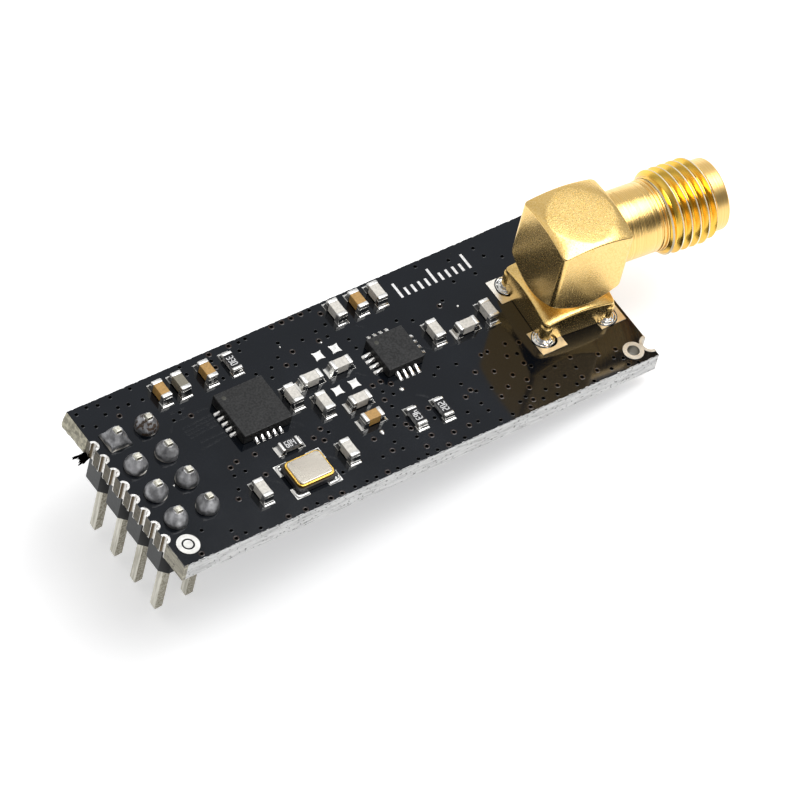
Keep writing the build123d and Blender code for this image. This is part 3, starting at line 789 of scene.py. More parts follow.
RINGED_HOLES = (
    # Back edge
    (8.65, 7.1), (10.3, 7.1), (13.95, 7.15), (14.8, 7.15), (15.6, 7.15), (16.4, 7.15), (17.7, 6.55),
    (8.45, 5.95),
    # Around the transceiver
    (0.15, 5.45), (4.6, 3.2), (5.2, -1.55), (4.55, -1.8), (6.7, -1.6), (6.4, -3.4), (3.55, -4.3),
    (12.0, -1.85), (11.15, -2.3), (11.7, -2.8), (14.05, 4.65), (16.25, 4.6), (13.0, 3.85), (25.65, 3.3),
    # Around the amplifier
    (17.4, -0.4), (18.1, -0.35), (18.65, -0.85), (17.45, -1.8), (19.8, -3.8), (22.7, -4.2), (23.35, -3.85),
    (14.85, -4.3), (17.7, -4.7), (17.6, -4.25), (15.45, -5.7), (18.65, -5.85), (20.2, -6.35), (21.5, -6.35),
    (17.8, -6.5),
    # Front edge
    (-1.3, -7.0), (1.55, -7.0), (5.8, -7.1), (7.2, -7.15), (9.3, -7.15), (10.25, -7.15), (14.1, -7.1),
    (19.25, -7.1), (26.3, -7.0),
    # Beside the jack
    (25.8, -1.65), (26.35, -1.6), (27.9, -1.6), (28.85, -1.95), (27.4, -2.55), (24.55, -2.7), (25.8, -3.25),
    (28.1, -3.6), (26.8, -4.1), (25.9, -4.8), (27.45, -4.9), (31.35, -4.65), (25.0, -5.3), (27.2, -5.55),
    (33.3, -5.35), (34.65, -5.55), (29.1, -6.3), (26.85, -6.55), (31.1, -6.5), (32.4, -6.5),
)
# Tracks under the mask, as lines
TRACKS = (
    ((6.2, 3.3), (3.2, 3.3), (2.5, 2.6)), ((6.2, 2.7), (3.4, 2.5)), ((6.2, 2.4), (3.4, 2.2)),
    ((6.2, 2.1), (3.4, 1.9)), ((6.2, 1.8), (3.4, 1.6)), ((6.2, 1.0), (3.9, 1.0)), ((6.2, 0.7), (3.6, 0.4)),
    ((10.5, -0.3), (10.9, -0.7), (11.1, -1.2)), ((10.2, -0.6), (10.5, -0.9)), ((10.7, -3.7), (11.6, -4.5)),
    ((6.3, -3.8), (6.9, -4.4), (7.1, -5.0)), ((17.0, 1.1), (17.6, 0.5)), ((19.4, 4.6), (19.8, 4.2)),
    ((22.5, 0.9), (23.0, 0.4)), ((19.7, -2.4), (20.4, -3.0)), ((3.4, 4.0), (4.6, 4.0)),
    ((30.0, 1.6), (30.0, 3.0)), ((24.3, 0.1), (28.7, 0.1)),
)
TRACK_WIDTH, TRACK_CROWN, TRACK_HEIGHT = 0.15, 0.145, 0.0008
# Outlines of the relief at a small hole: radius, height over the mask
PLAIN_RIM = ((0.17, 0.0), (0.15, 0.005), (0.13, 0.005), (0.12, 0.001))
WIDE_RIM = ((0.225, 0.0), (0.205, 0.006), (0.16, 0.007), (0.13, 0.001))
# The near-black disc in each small hole is painted shade.
HOLE_SHADE_DISC = ((0.135, 0.0), (0.13, 0.007))


class MODULE_OT_board(bpy.types.Operator):
    """Finishes the bare board"""
    bl_idname = "radio_module.board"
    bl_label = "Board"

    def execute(self, context):
        dress(["circuit_board"], "board")
        return {"FINISHED"}


class MODULE_OT_mask_relief(bpy.types.Operator):
    """Makes what stands out in the mask: rims of the small holes, near-black discs of painted shade in them,
    and tracks
    """
    bl_idname = "radio_module.mask_relief"
    bl_label = "Mask Relief"

    def execute(self, context):
        for name, holes, outline, finish in (
                ("hole_rims", PLAIN_HOLES, PLAIN_RIM, "mask"),
                ("hole_rings", RINGED_HOLES, WIDE_RIM, "brown_mask"),
                # Near-black discs in every small hole: painted shade.
                ("hole_hollows", PLAIN_HOLES + RINGED_HOLES, HOLE_SHADE_DISC, "hollow")):
            surface = Surface()
            for x, y in holes:
                surface.turned(x, y, outline, base=BOARD_HIGH.z)
            make_piece(name, surface, finish)
        tracks = Surface()
        for line in TRACKS:
            tracks.ridge(line, TRACK_WIDTH, TRACK_CROWN, TRACK_HEIGHT, BOARD_HIGH.z)
        make_piece("tracks", tracks, "mask", sharp_over=5)
        return {"FINISHED"}


class MODULE_OT_copper(bpy.types.Operator):
    """Finishes the tinned copper: half-holes, rings, lands, pads and the corner mark"""
    bl_idname = "radio_module.copper"
    bl_label = "Tinned Copper"

    def execute(self, context):
        dress(["bare_pads", "component_lands"], "tin")
        dress(["edge_pads"], "half_holes")
        dress(["corner_rings"], "ring_tin")
        dress(["corner_mark"], "mark_tin")
        dress(["header_lands", "jack_lands"], "land_tin")
        return {"FINISHED"}


class MODULE_OT_print(bpy.types.Operator):
    """Prints a plain scale of white bars on the board, and makes the tinned dots"""
    bl_idname = "radio_module.print"
    bl_label = "White Print"

    def execute(self, context):
        bars = Surface()
        for index in range(MARK_BAR_COUNT):
            share = index / (MARK_BAR_COUNT - 1)
            x = MARK_START + share * (MARK_END - MARK_START)
            height = MARK_LONG if index % 5 == 0 else MARK_SHORT
            bars.rounded_box((x - MARK_BAR_WIDTH / 2, MARK_FOOT, BOARD_HIGH.z),
                             (x + MARK_BAR_WIDTH / 2, MARK_FOOT + height, BOARD_HIGH.z + PRINT_HEIGHT),
                             PRINT_CORNER)
        make_piece("print_bars", bars, "print")
        dots = Surface()
        for x, y, radius in TINNED_DOTS:
            outline = [(radius * share, z) for share, z in TINNED_OUTLINE]
            dots.turned(x, y, outline, base=BOARD_HIGH.z)
        make_piece("tinned_dots", dots, "wet_solder")
        return {"FINISHED"}


BURR_PLACE = Vector((-2.85, 4.5, 2.75))
BURR_BLADES = 26
BURR_SHORTEST, BURR_LONGEST = 0.4, 1.25
BURR_SPREAD = 1.9
BURR_FAN = 0.3
BURR_DROP = 0.15
# Along a blade: share of its length, share of its thickness
BLADE_SECTIONS = ((0.0, 1.0), (0.5, 0.7), (0.8, 0.9), (1.0, 0.3))
BREAK_FROM, BREAK_TO = 4.75, 7.38
BREAK_REACH = 0.3
BREAK_ROWS = 16


def burr_blade(surface, chance):
    """One blade of the burr, its place, reach and thickness drawn by chance: thin, with a blunt tip."""
    start = BURR_PLACE + Vector((0.1, 0.4 * chance.x, 0.22 * chance.y))
    reach = min(BURR_SHORTEST + BURR_SPREAD * abs(chance.z), BURR_LONGEST)
    tip = start + Vector((-reach, BURR_FAN * chance.y, BURR_FAN * chance.x - BURR_DROP))
    thick = 0.05 + 0.09 * abs(chance.x)
    rings = []
    for share, size in BLADE_SECTIONS:
        side, up = Vector((0, thick * size, 0)), Vector((0, 0, thick * size))
        place = start.lerp(tip, share)
        rings.append([place + side, place + up, place - side, place - up])
    surface.loft(rings)


def break_outline(y):
    """Section of the broken fibre across the board's end, wider towards the corner."""
    low, high = BOARD_LOW.z, BOARD_HIGH.z
    share = (y - BREAK_FROM) / (BREAK_TO - BREAK_FROM)
    rough = noise.noise(Vector((y * 3.1, 0.7, 2.0)))
    reach = BREAK_REACH * (0.35 + 0.65 * share) * (1 + 0.5 * rough)
    outline = ((-0.06, low + 0.05), (0.7 * reach, low + 0.12), (reach, low + 0.5 + 0.2 * rough),
               (0.8 * reach, low + 0.95), (0.45 * reach, high - 0.3), (0.1 * reach, high - 0.03),
               (-0.06, high - 0.03))
    return [Vector((BOARD_LOW.x - out, y, z)) for out, z in outline]


class MODULE_OT_burr(bpy.types.Operator):
    """Makes the ragged black burr at the first half-hole and the broken fibre beside it"""
    bl_idname = "radio_module.burr"
    bl_label = "Burr"

    def execute(self, context):
        burr, fibre = Surface(), Surface()
        seed = context.scene.module_sizes.seed
        noise.seed_set(seed)
        for index in range(BURR_BLADES):
            burr_blade(burr, noise.noise_vector(Vector((index * 1.7, seed, 0.3))))
        make_piece("burr", burr, "hollow", sharp_over=30)
        step = (BREAK_TO - BREAK_FROM) / BREAK_ROWS
        fibre.loft([break_outline(BREAK_FROM + row * step) for row in range(BREAK_ROWS + 1)])
        make_piece("broken_end", fibre, "broken_fibre")
        return {"FINISHED"}


# Pin header, in millimetres

# Outline of the solder on a pin: radius in millimetres, share of its height
SOLDER_OUTLINE = ((0.83, 0.0), (0.84, 0.06), (0.84, 0.16), (0.82, 0.28), (0.77, 0.4), (0.69, 0.52),
                  (0.6, 0.64), (0.52, 0.75), (0.45, 0.86), (0.4, 0.94), (0.37, 1.0))
SOLDER_POINTS = 64
SOLDER_LUMP = 0.11
CORNER_PULL = 0.52
SIDE_DRAW = 0.04


def solder_cone(surface, x, y, height, seed, square=False):
    """Solder drawn up a pin: a lumpy onion, on a square foot with four drawn corners where asked."""
    rings = []
    for radius, share in SOLDER_OUTLINE:
        ring = []
        for point in circle(1.0, SOLDER_POINTS):
            lump = noise.noise(Vector((point.x * 1.2, point.y * 1.2, seed + share * 1.6)))
            reach = radius * (1 + SOLDER_LUMP * lump * (1 - share))
            if square:
                turn = atan2(point.y, point.x)
                corner = ((1 / cos(from_side(turn)) - 1) / (sqrt(2) - 1)) ** 1.7
                reach *= 1 + (CORNER_PULL * corner - SIDE_DRAW) * (1 - share) ** 2.4
            ring.append(point * reach + Vector((x, y, SEAT + height * share)))
        rings.append(ring)
    surface.loft(rings)


class MODULE_OT_header(bpy.types.Operator):
    """Finishes the header's housing and pins"""
    bl_idname = "radio_module.header"
    bl_label = "Pin Header"

    def execute(self, context):
        dress(["header_housing"], "header", 0.06 * MM)
        dress(PINS, "pin", 0.03 * MM)
        return {"FINISHED"}


class MODULE_OT_header_solder(bpy.types.Operator):
    """Makes the solder round the header's pins"""
    bl_idname = "radio_module.header_solder"
    bl_label = "Header Solder"

    def execute(self, context):
        height = context.scene.module_sizes.solder_height / MM
        clean, fluxed = Surface(), Surface()
        middles = [node_middle(name) for name in PINS]
        first = min(middles, key=lambda middle: middle.x - middle.y)
        spotted = max(middles, key=lambda middle: middle.x + middle.y)
        for number, middle in enumerate(middles):
            surface = fluxed if middle == spotted else clean
            solder_cone(surface, middle.x, middle.y, height, number * 3.7, square=(middle == first))
        make_piece("pin_solder", clean, "solder", ["header_solder"])
        make_piece("pin_solder_fluxed", fluxed, "fluxed_solder")
        return {"FINISHED"}


# Antenna jack, in millimetres and degrees

JACK_PLACE = Matrix.Translation((JACK_MIDDLE.x, JACK_MIDDLE.y, SEAT)) @ Matrix.Rotation(JACK_TURN, 4, "Z")
BARREL_PLACE = JACK_PLACE @ Matrix.Translation((0, 0, BARREL_HEIGHT)) @ Matrix.Rotation(pi / 2, 4, "Y")
TOP_RADIUS = 2.6
TOP_SLOPE = 20
BASE_HEIGHT = 2.2
BASE_SLOPE = 21
GROOVE_RADIUS = 2.45
GROOVE_HEIGHT = 0.09
UNDER_SLOPE = 43
LEG_STEP = 2.54
LEG_RADIUS = 0.45
LEG_LENGTH = 3.05
LEG_SHOULDER = 1.35
NECK_RADIUS = 2.58
NECK_END = 6.35
THREAD_END = 10.3
COLLAR_RADIUS = 2.65
BARREL_END = 11.33
SOCKET_RADIUS = 2.3
SOCKET_DEPTH = 1.9
SPIGOT_BORE = 2.05
# Steps turned at the neck's end: change of radius, distance before the thread
NECK_STEPS = ((0.0, 0.62), (-0.07, 0.57), (-0.07, 0.47), (0.03, 0.43), (0.03, 0.3), (-0.07, 0.26),
              (-0.07, 0.18), (0.07, 0.14), (0.07, 0.0))
CORNERS = ((-1, -1), (1, -1), (-1, 1), (1, 1))
LEG_OUTLINE = ((LEG_RADIUS - 0.08, -LEG_LENGTH), (LEG_RADIUS, -LEG_LENGTH + 0.08), (LEG_RADIUS, LEG_SHOULDER),
               (LEG_RADIUS - 0.06, LEG_SHOULDER + 0.12), (LEG_RADIUS - 0.2, LEG_SHOULDER + 0.2))
SIDE_STEPS, CORNER_STEPS = 26, 8
FOOT_EDGE, LEDGE_EDGE, GROOVE_EDGE, TOP_EDGE = 0.04, 0.1, 0.03, 0.35
NECK_OVERLAP = 0.3
COLLAR_OVERLAP = 0.4
NECK_DIP = 0.2
BARREL_POINTS = 128
THREAD_POINTS = 160


def square_reach(turn, half, corner):
    """Distance from the middle of a rounded square to its side, in one direction."""
    fold = from_side(turn)
    if tan(fold) * half <= half - corner:
        return half / cos(fold)
    centre = half - corner
    along = centre * (cos(fold) + sin(fold))
    return along + sqrt(max(corner ** 2 - 2 * centre ** 2 + along ** 2, 0.0))


def square_turns(half, corner):
    """Directions at which a rounded square is sampled: even along its sides, closer at its corners."""
    turns = []
    limit = (half - corner) / half
    edge = atan2(limit, 1)
    for quarter in range(4):
        middle = quarter * pi / 2
        for step in range(SIDE_STEPS):
            turns.append(middle + atan2(limit * (2 * step / SIDE_STEPS - 1), 1))
        for step in range(CORNER_STEPS):
            turns.append(middle + edge + (pi / 2 - 2 * edge) * step / CORNER_STEPS)
    return turns


def rounded_profile(corners, steps=4):
    """A line through corners (radius, height, rounding), each one rounded by a short curve."""
    line = [Vector(corners[0][:2])]
    for before, here, after in zip(corners, corners[1:], corners[2:]):
        point = Vector(here[:2])
        back = Vector(before[:2]) - point
        ahead = Vector(after[:2]) - point
        reach = min(here[2], 0.45 * back.length, 0.45 * ahead.length)
        start = point + back.normalized() * reach
        end = point + ahead.normalized() * reach
        for step in range(steps + 1):
            share = step / steps
            line.append(start * (1 - share) ** 2 + point * (2 * share * (1 - share)) + end * share ** 2)
    line.append(Vector(corners[-1][:2]))
    return line


class MODULE_OT_jack_body(bpy.types.Operator):
    """Makes the jack's body: a square bar turned to three cones and a groove, with four legs"""
    bl_idname = "radio_module.jack_body"
    bl_label = "Jack Body"

    def execute(self, context):
        sizes = context.scene.module_sizes
        half, corner = sizes.jack_side / MM / 2, sizes.jack_corner / MM
        height, edge = sizes.jack_height / MM, sizes.jack_edge / MM
        surface = Surface()
        columns = []
        ledge, under, over = (tan(radians(slope)) for slope in (BASE_SLOPE, UNDER_SLOPE, TOP_SLOPE))
        groove_bottom = BASE_HEIGHT + (half - GROOVE_RADIUS) * ledge
        groove_top = groove_bottom + GROOVE_HEIGHT
        for turn in square_turns(half, corner):
            reach = square_reach(turn, half, corner)
            profile = rounded_profile([
                (reach / 2, 0, 0), (reach, 0, FOOT_EDGE),
                (reach, groove_bottom - (reach - GROOVE_RADIUS) * ledge, LEDGE_EDGE),
                (GROOVE_RADIUS, groove_bottom, GROOVE_EDGE), (GROOVE_RADIUS, groove_top, GROOVE_EDGE),
                (reach, groove_top + (reach - GROOVE_RADIUS) * under, edge),
                (reach, height - (reach - TOP_RADIUS) * over, edge),
                (TOP_RADIUS, height, TOP_EDGE), (TOP_RADIUS / 2, height, 0)])
            columns.append([Vector((radius * cos(turn), radius * sin(turn), z)) for radius, z in profile])
        surface.loft([list(ring) for ring in zip(*columns)])
        for side_x, side_y in CORNERS:
            surface.turned(side_x * LEG_STEP, side_y * LEG_STEP, LEG_OUTLINE, 32)
        make_piece("jack_block", surface.moved(JACK_PLACE), "gold_satin", ["jack_body"])
        return {"FINISHED"}


# One turn of the thread: share of the pitch, share of the depth; the crest is from the fourth to the sixth
THREAD_STEPS = ((0.0, 0.0), (0.08, 0.0), (0.17, 0.1), (0.45, 0.92), (0.5, 1.0), (0.54, 1.0), (0.59, 0.92),
                (0.89, 0.1))
CREST_ROWS = (3, 4, 5)
THREAD_CHAMFER = 50
CHAMFER_DEPTH = 0.03
FLATTENED = 1e-6


def thread_surface(crest, pitch, depth, start, end):
    """A real helical thread between two places along the barrel: its flanks, and its crests on their own."""
    root = crest - depth
    slope = tan(radians(THREAD_CHAMFER))
    rows = [(turn + share, lift) for turn in range(int(start / pitch) - 2, int(end / pitch) + 3)
            for share, lift in THREAD_STEPS]
    unit_ring = circle(1.0, THREAD_POINTS)
    points = []
    for share, lift in rows:
        for column, point in enumerate(unit_ring):
            along = max(start, min(end, pitch * (share + column / THREAD_POINTS)))
            radius = min(root + depth * lift,
                         root - CHAMFER_DEPTH + min(along - start, end - along) * slope)
            points.append(Vector((radius * point.x, radius * point.y, along)))
    flanks, crests = Surface(), Surface()
    turn_rows = len(THREAD_STEPS)
    for row in range(len(rows) - turn_rows - 1):
        for column in range(THREAD_POINTS):
            following = (column + 1) % THREAD_POINTS
            next_row = row if following else row + turn_rows
            quad = (row * THREAD_POINTS + column, next_row * THREAD_POINTS + following,
                    (next_row + 1) * THREAD_POINTS + following, (row + 1) * THREAD_POINTS + column)
            heights = [points[index].z for index in quad]
            if max(heights) - min(heights) > FLATTENED:
                (crests if row % turn_rows in CREST_ROWS else flanks).faces.append(quad)
    for surface in (flanks, crests):
        used = sorted({index for quad in surface.faces for index in quad})
        place = {index: number for number, index in enumerate(used)}
        surface.points = [points[index] for index in used]
        surface.faces = [tuple(place[index] for index in quad) for quad in surface.faces]
    return flanks, crests


class MODULE_OT_jack_barrel(bpy.types.Operator):
    """Makes the jack's barrel: neck, thread and collar"""
    bl_idname = "radio_module.jack_barrel"
    bl_label = "Jack Barrel"

    def execute(self, context):
        sizes = context.scene.module_sizes
        crest = THREAD_MOUNT["dims"]["r_mm"]
        half = sizes.jack_side / MM / 2
        depth = sizes.thread_depth / MM
        root = crest - depth
        neck = Surface()
        steps = [(NECK_RADIUS + step, NECK_END - back, 0.02) for step, back in NECK_STEPS]
        sections = rounded_profile([(SPIGOT_BORE, half - NECK_OVERLAP, 0),
                                    (NECK_RADIUS, half - NECK_OVERLAP, 0.01), *steps,
                                    (root - NECK_DIP, NECK_END + 0.05, 0)], 2)
        neck.loft([circle(radius, BARREL_POINTS, z) for radius, z in sections])
        make_piece("barrel_neck", neck.moved(BARREL_PLACE), "gold_neck", ["jack_barrel"])
        flanks, crests = thread_surface(crest, sizes.thread_pitch / MM, depth, NECK_END, THREAD_END)
        make_piece("barrel_thread", flanks.moved(BARREL_PLACE), "gold_thread", sharp_over=80)
        # The crests get the paler gold: a painted highlight along each crest.
        make_piece("thread_crests", crests.moved(BARREL_PLACE), "gold_crest", sharp_over=80)
        collar = Surface()
        floor = BARREL_END - SOCKET_DEPTH
        sections = rounded_profile([(SPIGOT_BORE, THREAD_END - COLLAR_OVERLAP, 0),
                                    (root, THREAD_END - COLLAR_OVERLAP, 0.01),
                                    (root, THREAD_END, 0.05), (COLLAR_RADIUS, THREAD_END, 0.03),
                                    (COLLAR_RADIUS, BARREL_END, 0.14), (SOCKET_RADIUS, BARREL_END, 0.08),
                                    (SOCKET_RADIUS, floor, 0.03), (SPIGOT_BORE, floor, 0)])
        collar.loft([circle(radius, BARREL_POINTS, z) for radius, z in sections], False, False)
        make_piece("barrel_collar", collar.moved(BARREL_PLACE), "gold_collar")
        return {"FINISHED"}


class MODULE_OT_jack_inside(bpy.types.Operator):
    """Finishes the insulator and the centre contact"""
    bl_idname = "radio_module.jack_inside"
    bl_label = "Insulator and Contact"

    def execute(self, context):
        dress(["jack_insulator"], "insulator")
        dress(["jack_contact"], "gold_thread")
        return {"FINISHED"}


# Outlines of the solder round a leg: radius, height over the land or over the board's underside
LEG_SOLDER = ((0.84, 0.004), (0.83, 0.03), (0.78, 0.05), (0.74, 0.02), (0.7, 0.03), (0.66, 0.09), (0.6, 0.13),
              (0.55, 0.12), (0.51, 0.18), (0.47, 0.28), (0.42, 0.34))
UNDER_SOLDER = ((0.46, -0.8), (0.5, -0.62), (0.6, -0.35), (0.78, -0.12), (0.92, 0.0))
TAIL_SOLDER = ((0.41, -0.8), (0.5, -0.5), (0.7, -0.2), (1.0, 0.0))
# The near-black ring round each leg's hole is painted shadow at the hole's edge.
LEG_HOLE_SHADE = ((0.9, 0.0), (0.89, 0.012), (0.75, 0.012))
UNDER_LAND = 0.05
LEG_POINTS, UNDER_POINTS, RIM_POINTS = 72, 40, 48


def leg_solder(surface, leg, number):
    """Crinkled solder round one leg, on the land."""
    rings = []
    for radius, z in LEG_SOLDER:
        ring = []
        for point in circle(radius, LEG_POINTS):
            fold = noise.noise(Vector((point.x * 2.6, point.y * 2.6, number * 5.3 + z)))
            crinkle = noise.noise(Vector((point.x * 6.0, point.y * 6.0, number * 7.1)))
            rise = (0.09 * fold + 0.05 * crinkle) * min(1.0, (UNDER_SOLDER[-1][0] - radius) / 0.3)
            place = leg + point * (1 + 0.07 * fold)
            ring.append(Vector((place.x, place.y, SEAT + max(z + rise, LEG_SOLDER[0][1]))))
        rings.append(ring)
    surface.loft(rings)


class MODULE_OT_jack_solder(bpy.types.Operator):
    """Makes the solder round the jack's legs, above and below the board, and near-black rings of painted
    shadow round the legs' holes
    """
    bl_idname = "radio_module.jack_solder"
    bl_label = "Jack Solder"

    def execute(self, context):
        solder, rims = Surface(), Surface()
        under = BOARD_LOW.z - UNDER_LAND
        for number, (side_x, side_y) in enumerate(CORNERS):
            leg = JACK_PLACE @ Vector((side_x * LEG_STEP, side_y * LEG_STEP, 0))
            leg_solder(solder, leg, number)
            solder.turned(leg.x, leg.y, UNDER_SOLDER, UNDER_POINTS, under)
            rims.turned(leg.x, leg.y, LEG_HOLE_SHADE, RIM_POINTS, SEAT)
        solder.turned(JACK_MIDDLE.x, JACK_MIDDLE.y, TAIL_SOLDER, UNDER_POINTS, under)
        # Painted shadow: near-black rings round the legs' holes.
        make_piece("leg_hole_rims", rims, "hollow")
        make_piece("leg_solder", solder, "wet_solder", ["jack_solder"])
        return {"FINISHED"}


# Chips and crystal, in millimetres

# Leads on each side of a chip, and reach of the solder in front of them
CHIPS = {"transceiver_chip": (5, 0.4), "amplifier_chip": (4, 0.64)}
LEAD_PITCH = 0.5
LEAD_WIDTH = 0.24
LEAD_HEIGHT = 0.2
# The solder in front of a lead: shares of its reach, and its section in shares of half its width and height
TONGUE_STEPS = (-0.15, 0.0, 0.08, 0.18, 0.32, 0.5, 0.7, 0.9, 1.0)
TONGUE_SECTION = ((-1, 0), (1, 0), (1, 0.8), (0.8, 0.98), (0, 1), (-0.8, 0.98), (-1, 0.8))
DOT_INSET = 0.55
DOT_OUTLINE = ((0.17, 0.004), (0.153, 0.007))
# Ring and lid of the crystal: node, piece, corner radius, rounding, finish, slot
CRYSTAL_TOPS = (("crystal_ring", "seal_ring", 0.4, 0.03, "ring", "gold_plate"),
                ("crystal_lid", "lid", 0.3, 0.06, "lid", "lid_metal"))
CRYSTAL_STEPS = 6
# Line of the solder round a corner of the crystal, out from that corner
CRYSTAL_SOLDER = ((-0.72, 0.14), (-0.2, 0.15), (0.1, 0.12), (0.15, -0.1), (0.14, -0.58))
CRYSTAL_SOLDER_WIDTH, CRYSTAL_SOLDER_CROWN, CRYSTAL_SOLDER_HEIGHT = 0.28, 0.1, 0.1


def on_board(middle, quarter):
    """Place of a part on the board's lands, turned by quarter turns."""
    return Matrix.Translation((middle.x, middle.y, SEAT)) @ Matrix.Rotation(quarter * pi / 2, 4, "Z")


def lead_tongue(surface, place, reach, width, height):
    """Solder in front of one lead: a hollow tongue, narrow up at the chip's side and wide at its far end."""
    rings = []
    for share in TONGUE_STEPS:
        out = max(share, 0.0)
        top = height * (1 - out) + (0.02 if share == 1.0 else 0.05)
        half = width / 2 * (0.45 + 0.6 * min(1.0, 1.6 * out))
        rings.append([place @ Vector((reach * share, half * side, top * up)) for side, up in TONGUE_SECTION])
    surface.loft(rings)


class MODULE_OT_chips(bpy.types.Operator):
    """Finishes the two chips and makes the solder at their leads"""
    bl_idname = "radio_module.chips"
    bl_label = "Chips"

    def execute(self, context):
        dress(list(CHIPS), "moulding", 0.05 * MM)
        dress(["transceiver_leads", "amplifier_leads"], "tin")
        tongues, dots = Surface(), Surface()
        for name, (count, reach) in CHIPS.items():
            low, high = node_box(name)
            middle = (low + high) / 2
            half = (high.x - low.x) / 2
            for quarter in range(4):
                for index in range(count):
                    step = (index - (count - 1) / 2) * LEAD_PITCH
                    place = on_board(middle, quarter) @ Matrix.Translation((half, step, 0))
                    lead_tongue(tongues, place, reach, LEAD_WIDTH, LEAD_HEIGHT)
            dots.turned(low.x + DOT_INSET, high.y - DOT_INSET, DOT_OUTLINE, base=high.z)
        make_piece("lead_solder", tongues, "lead_tin")
        make_piece("first_lead_dots", dots, "dim_olive")
        return {"FINISHED"}


class MODULE_OT_crystal(bpy.types.Operator):
    """Finishes the crystal's base and makes its rounded ring and lid"""
    bl_idname = "radio_module.crystal"
    bl_label = "Crystal"

    def execute(self, context):
        dress(["crystal_base"], "ceramic", 0.03 * MM)
        for node, name, corner, rounding, finish, slot in CRYSTAL_TOPS:
            low, high = node_box(node)
            middle, half = (low + high) / 2, (high - low) / 2
            surface = Surface()
            rings = []
            for inset, z in ((0, low.z), (0, high.z - rounding), (0.3 * rounding, high.z - 0.3 * rounding),
                             (rounding, high.z)):
                outline = rounded_outline(half.x - inset, half.y - inset, corner - inset, CRYSTAL_STEPS)
                rings.append([Vector((middle.x + x, middle.y + y, z)) for x, y in outline])
            surface.loft(rings)
            make_piece(name, surface, finish, [node])
        low, high = node_box("crystal_base")
        middle, half = (low + high) / 2, (high - low) / 2
        corners = Surface()
        for side_x, side_y in CORNERS:
            line = [(middle.x + side_x * (half.x + x), middle.y + side_y * (half.y + y))
                    for x, y in CRYSTAL_SOLDER]
            corners.ridge(line, CRYSTAL_SOLDER_WIDTH, CRYSTAL_SOLDER_CROWN, CRYSTAL_SOLDER_HEIGHT, SEAT)
        make_piece("crystal_solder", corners, "tin")
        return {"FINISHED"}


# Small parts, in millimetres

END_BANDS = {"capacitor": 0.34, "resistor": 0.24}
SOLDER_RISES = {"capacitor": 0.46, "resistor": 0.3}
END_LENGTH = 0.03
LAND_REACH = 0.28
LAND_HALF_WIDTH = 0.44
FILLET_ROWS = 9
FILLET_CORNER = 0.06
FILLET_GAP = 0.01
# The strokes of a printed digit, as shares of its width and height, and the digits that they make up
STROKES = {"a": ((0, 1), (1, 1)), "b": ((1, 1), (1, 0.5)), "c": ((1, 0.5), (1, 0)), "d": ((0, 0), (1, 0)),
           "e": ((0, 0), (0, 0.5)), "f": ((0, 0.5), (0, 1)), "g": ((0, 0.5), (1, 0.5))}
DIGITS = {"0": "abcdef", "2": "abged", "3": "abgcd", "4": "fgbc", "6": "afgecd", "8": "abcdefg"}
DIGIT_WIDTH = 0.17
DIGIT_HEIGHT = 0.48
DIGIT_STEP = 0.28
STROKE_WIDTH, STROKE_CROWN, STROKE_HEIGHT = 0.065, 0.06, 0.006
PRINTED_VALUES = {"resistor_1": "330", "resistor_2": "684", "resistor_3": "463", "resistor_4": "202"}


def end_fillet(surface, place, length, width, band, height, seed):
    """Solder that climbs round one end of a small part: a hollow skirt from the land up to the cap."""
    rings = []
    for row in range(FILLET_ROWS + 1):
        share = row / FILLET_ROWS
        outer_x = length / 2 + FILLET_GAP + LAND_REACH * (1 - share)
        half_y = width / 2 + FILLET_GAP / 2 + (LAND_HALF_WIDTH - width / 2) * (1 - share)
        inner_x = length / 2 - band
        z = END_LENGTH + height * share ** 2.8 if row else 0.0
        ring = []
        for x, y in rounded_outline((outer_x - inner_x) / 2, half_y, FILLET_CORNER, 5):
            wave = 0.09 * noise.noise(Vector((x * 5, y * 5, seed))) * (0.4 + share)
            dent = 0.05 * noise.noise(Vector((x * 7, y * 7, seed + 3.0))) * (1 - abs(2 * share - 1))
            ring.append(place @ Vector(((outer_x + inner_x) / 2 + x * (1 + wave), y * (1 + wave), z + dent)))
        rings.append(ring)
    surface.loft(rings)


def printed_value(surface, place, text):
    """Digits of a resistor's value as thin strokes, in the middle of the part."""
    start = -DIGIT_STEP * (len(text) - 1) / 2 - DIGIT_WIDTH / 2
    for index, digit in enumerate(text):
        for stroke in DIGITS[digit]:
            left = start + index * DIGIT_STEP
            line = [place @ Vector((left + x * DIGIT_WIDTH, (y - 0.5) * DIGIT_HEIGHT, 0))
                    for x, y in STROKES[stroke]]
            surface.ridge(line, STROKE_WIDTH, STROKE_CROWN, STROKE_HEIGHT, line[0].z)


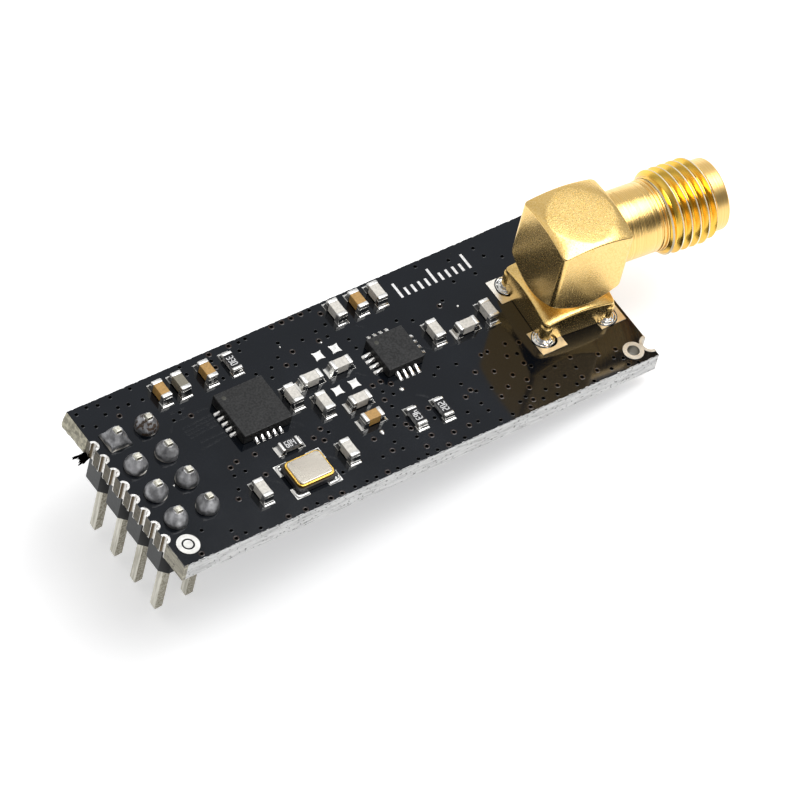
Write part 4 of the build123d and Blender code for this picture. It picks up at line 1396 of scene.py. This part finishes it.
class MODULE_OT_small_parts(bpy.types.Operator):
    """Finishes the small parts' bodies and makes their end caps and solder"""
    bl_idname = "radio_module.small_parts"
    bl_label = "Small Parts"

    def execute(self, context):
        rounding = context.scene.module_sizes.edge_rounding
        for name in CAPACITORS:
            dress([name], name.split("_")[0], 0.8 * rounding)
        dress(RESISTORS, "glaze", 0.4 * rounding)
        caps = {"capacitor": Surface(), "resistor": Surface()}
        fillets, digits = Surface(), Surface()
        for number, name in enumerate(CAPACITORS + RESISTORS):
            kind = "resistor" if name in RESISTORS else "capacitor"
            low, high = node_box(name)
            middle, span = (low + high) / 2, high - low
            along_y = span.y > span.x
            width, length = (side + 2 * END_LENGTH for side in sorted(span[:2]))
            top = high.z + END_LENGTH - SEAT
            for quarter in ((1, 3) if along_y else (0, 2)):
                place = on_board(middle, quarter)
                caps[kind].rounded_box((length / 2 - END_BANDS[kind], -width / 2, 0),
                                       (length / 2, width / 2, top), rounding / MM, place)
                end_fillet(fillets, place, length, width, END_BANDS[kind], SOLDER_RISES[kind],
                           number * 2.1 + quarter)
            if kind == "resistor":
                face = (Matrix.Translation((middle.x, middle.y, high.z))
                        @ Matrix.Rotation(-pi / 2 if along_y else 0.0, 4, "Z"))
                printed_value(digits, face, PRINTED_VALUES[name])
        make_piece("capacitor_caps", caps["capacitor"], "tin", ["capacitor_ends"])
        make_piece("resistor_caps", caps["resistor"], "tin", ["resistor_ends"])
        make_piece("part_solder", fillets, "wet_solder", ["component_solder"])
        make_piece("printed_values", digits, "print")
        return {"FINISHED"}


class MODULE_PT_panel(bpy.types.Panel):
    """Lists the module's pieces in the sidebar"""
    bl_idname = "MODULE_PT_panel"
    bl_label = "Transceiver Module"
    bl_space_type = "VIEW_3D"
    bl_region_type = "UI"
    bl_category = "Module"

    def draw(self, context):
        for group in (context.scene.module_sizes, context.scene.module_colours):
            box = self.layout.box()
            for name in group.__annotations__:
                box.prop(group, name)
        for operator in OPERATORS:
            self.layout.operator(operator.bl_idname)


OPERATORS = (MODULE_OT_stage, MODULE_OT_board, MODULE_OT_mask_relief, MODULE_OT_copper, MODULE_OT_print,
             MODULE_OT_burr, MODULE_OT_header, MODULE_OT_header_solder, MODULE_OT_jack_body,
             MODULE_OT_jack_barrel, MODULE_OT_jack_inside, MODULE_OT_jack_solder, MODULE_OT_chips,
             MODULE_OT_crystal, MODULE_OT_small_parts)
CLASSES = (ModuleSizes, ModuleColours, *OPERATORS, MODULE_PT_panel)


def register():
    """Registers the classes and hangs the settings on the scene."""
    for entry in CLASSES:
        bpy.utils.register_class(entry)
    bpy.types.Scene.module_sizes = PointerProperty(type=ModuleSizes)
    bpy.types.Scene.module_colours = PointerProperty(type=ModuleColours)


def unregister():
    """Takes the settings and the classes away again."""
    del bpy.types.Scene.module_colours
    del bpy.types.Scene.module_sizes
    for entry in reversed(CLASSES):
        bpy.utils.unregister_class(entry)


def main():
    """Builds every piece in order."""
    register()
    for operator in OPERATORS:
        category, name = operator.bl_idname.split(".")
        getattr(getattr(bpy.ops, category), name)()


if __name__ == "__main__":
    main()
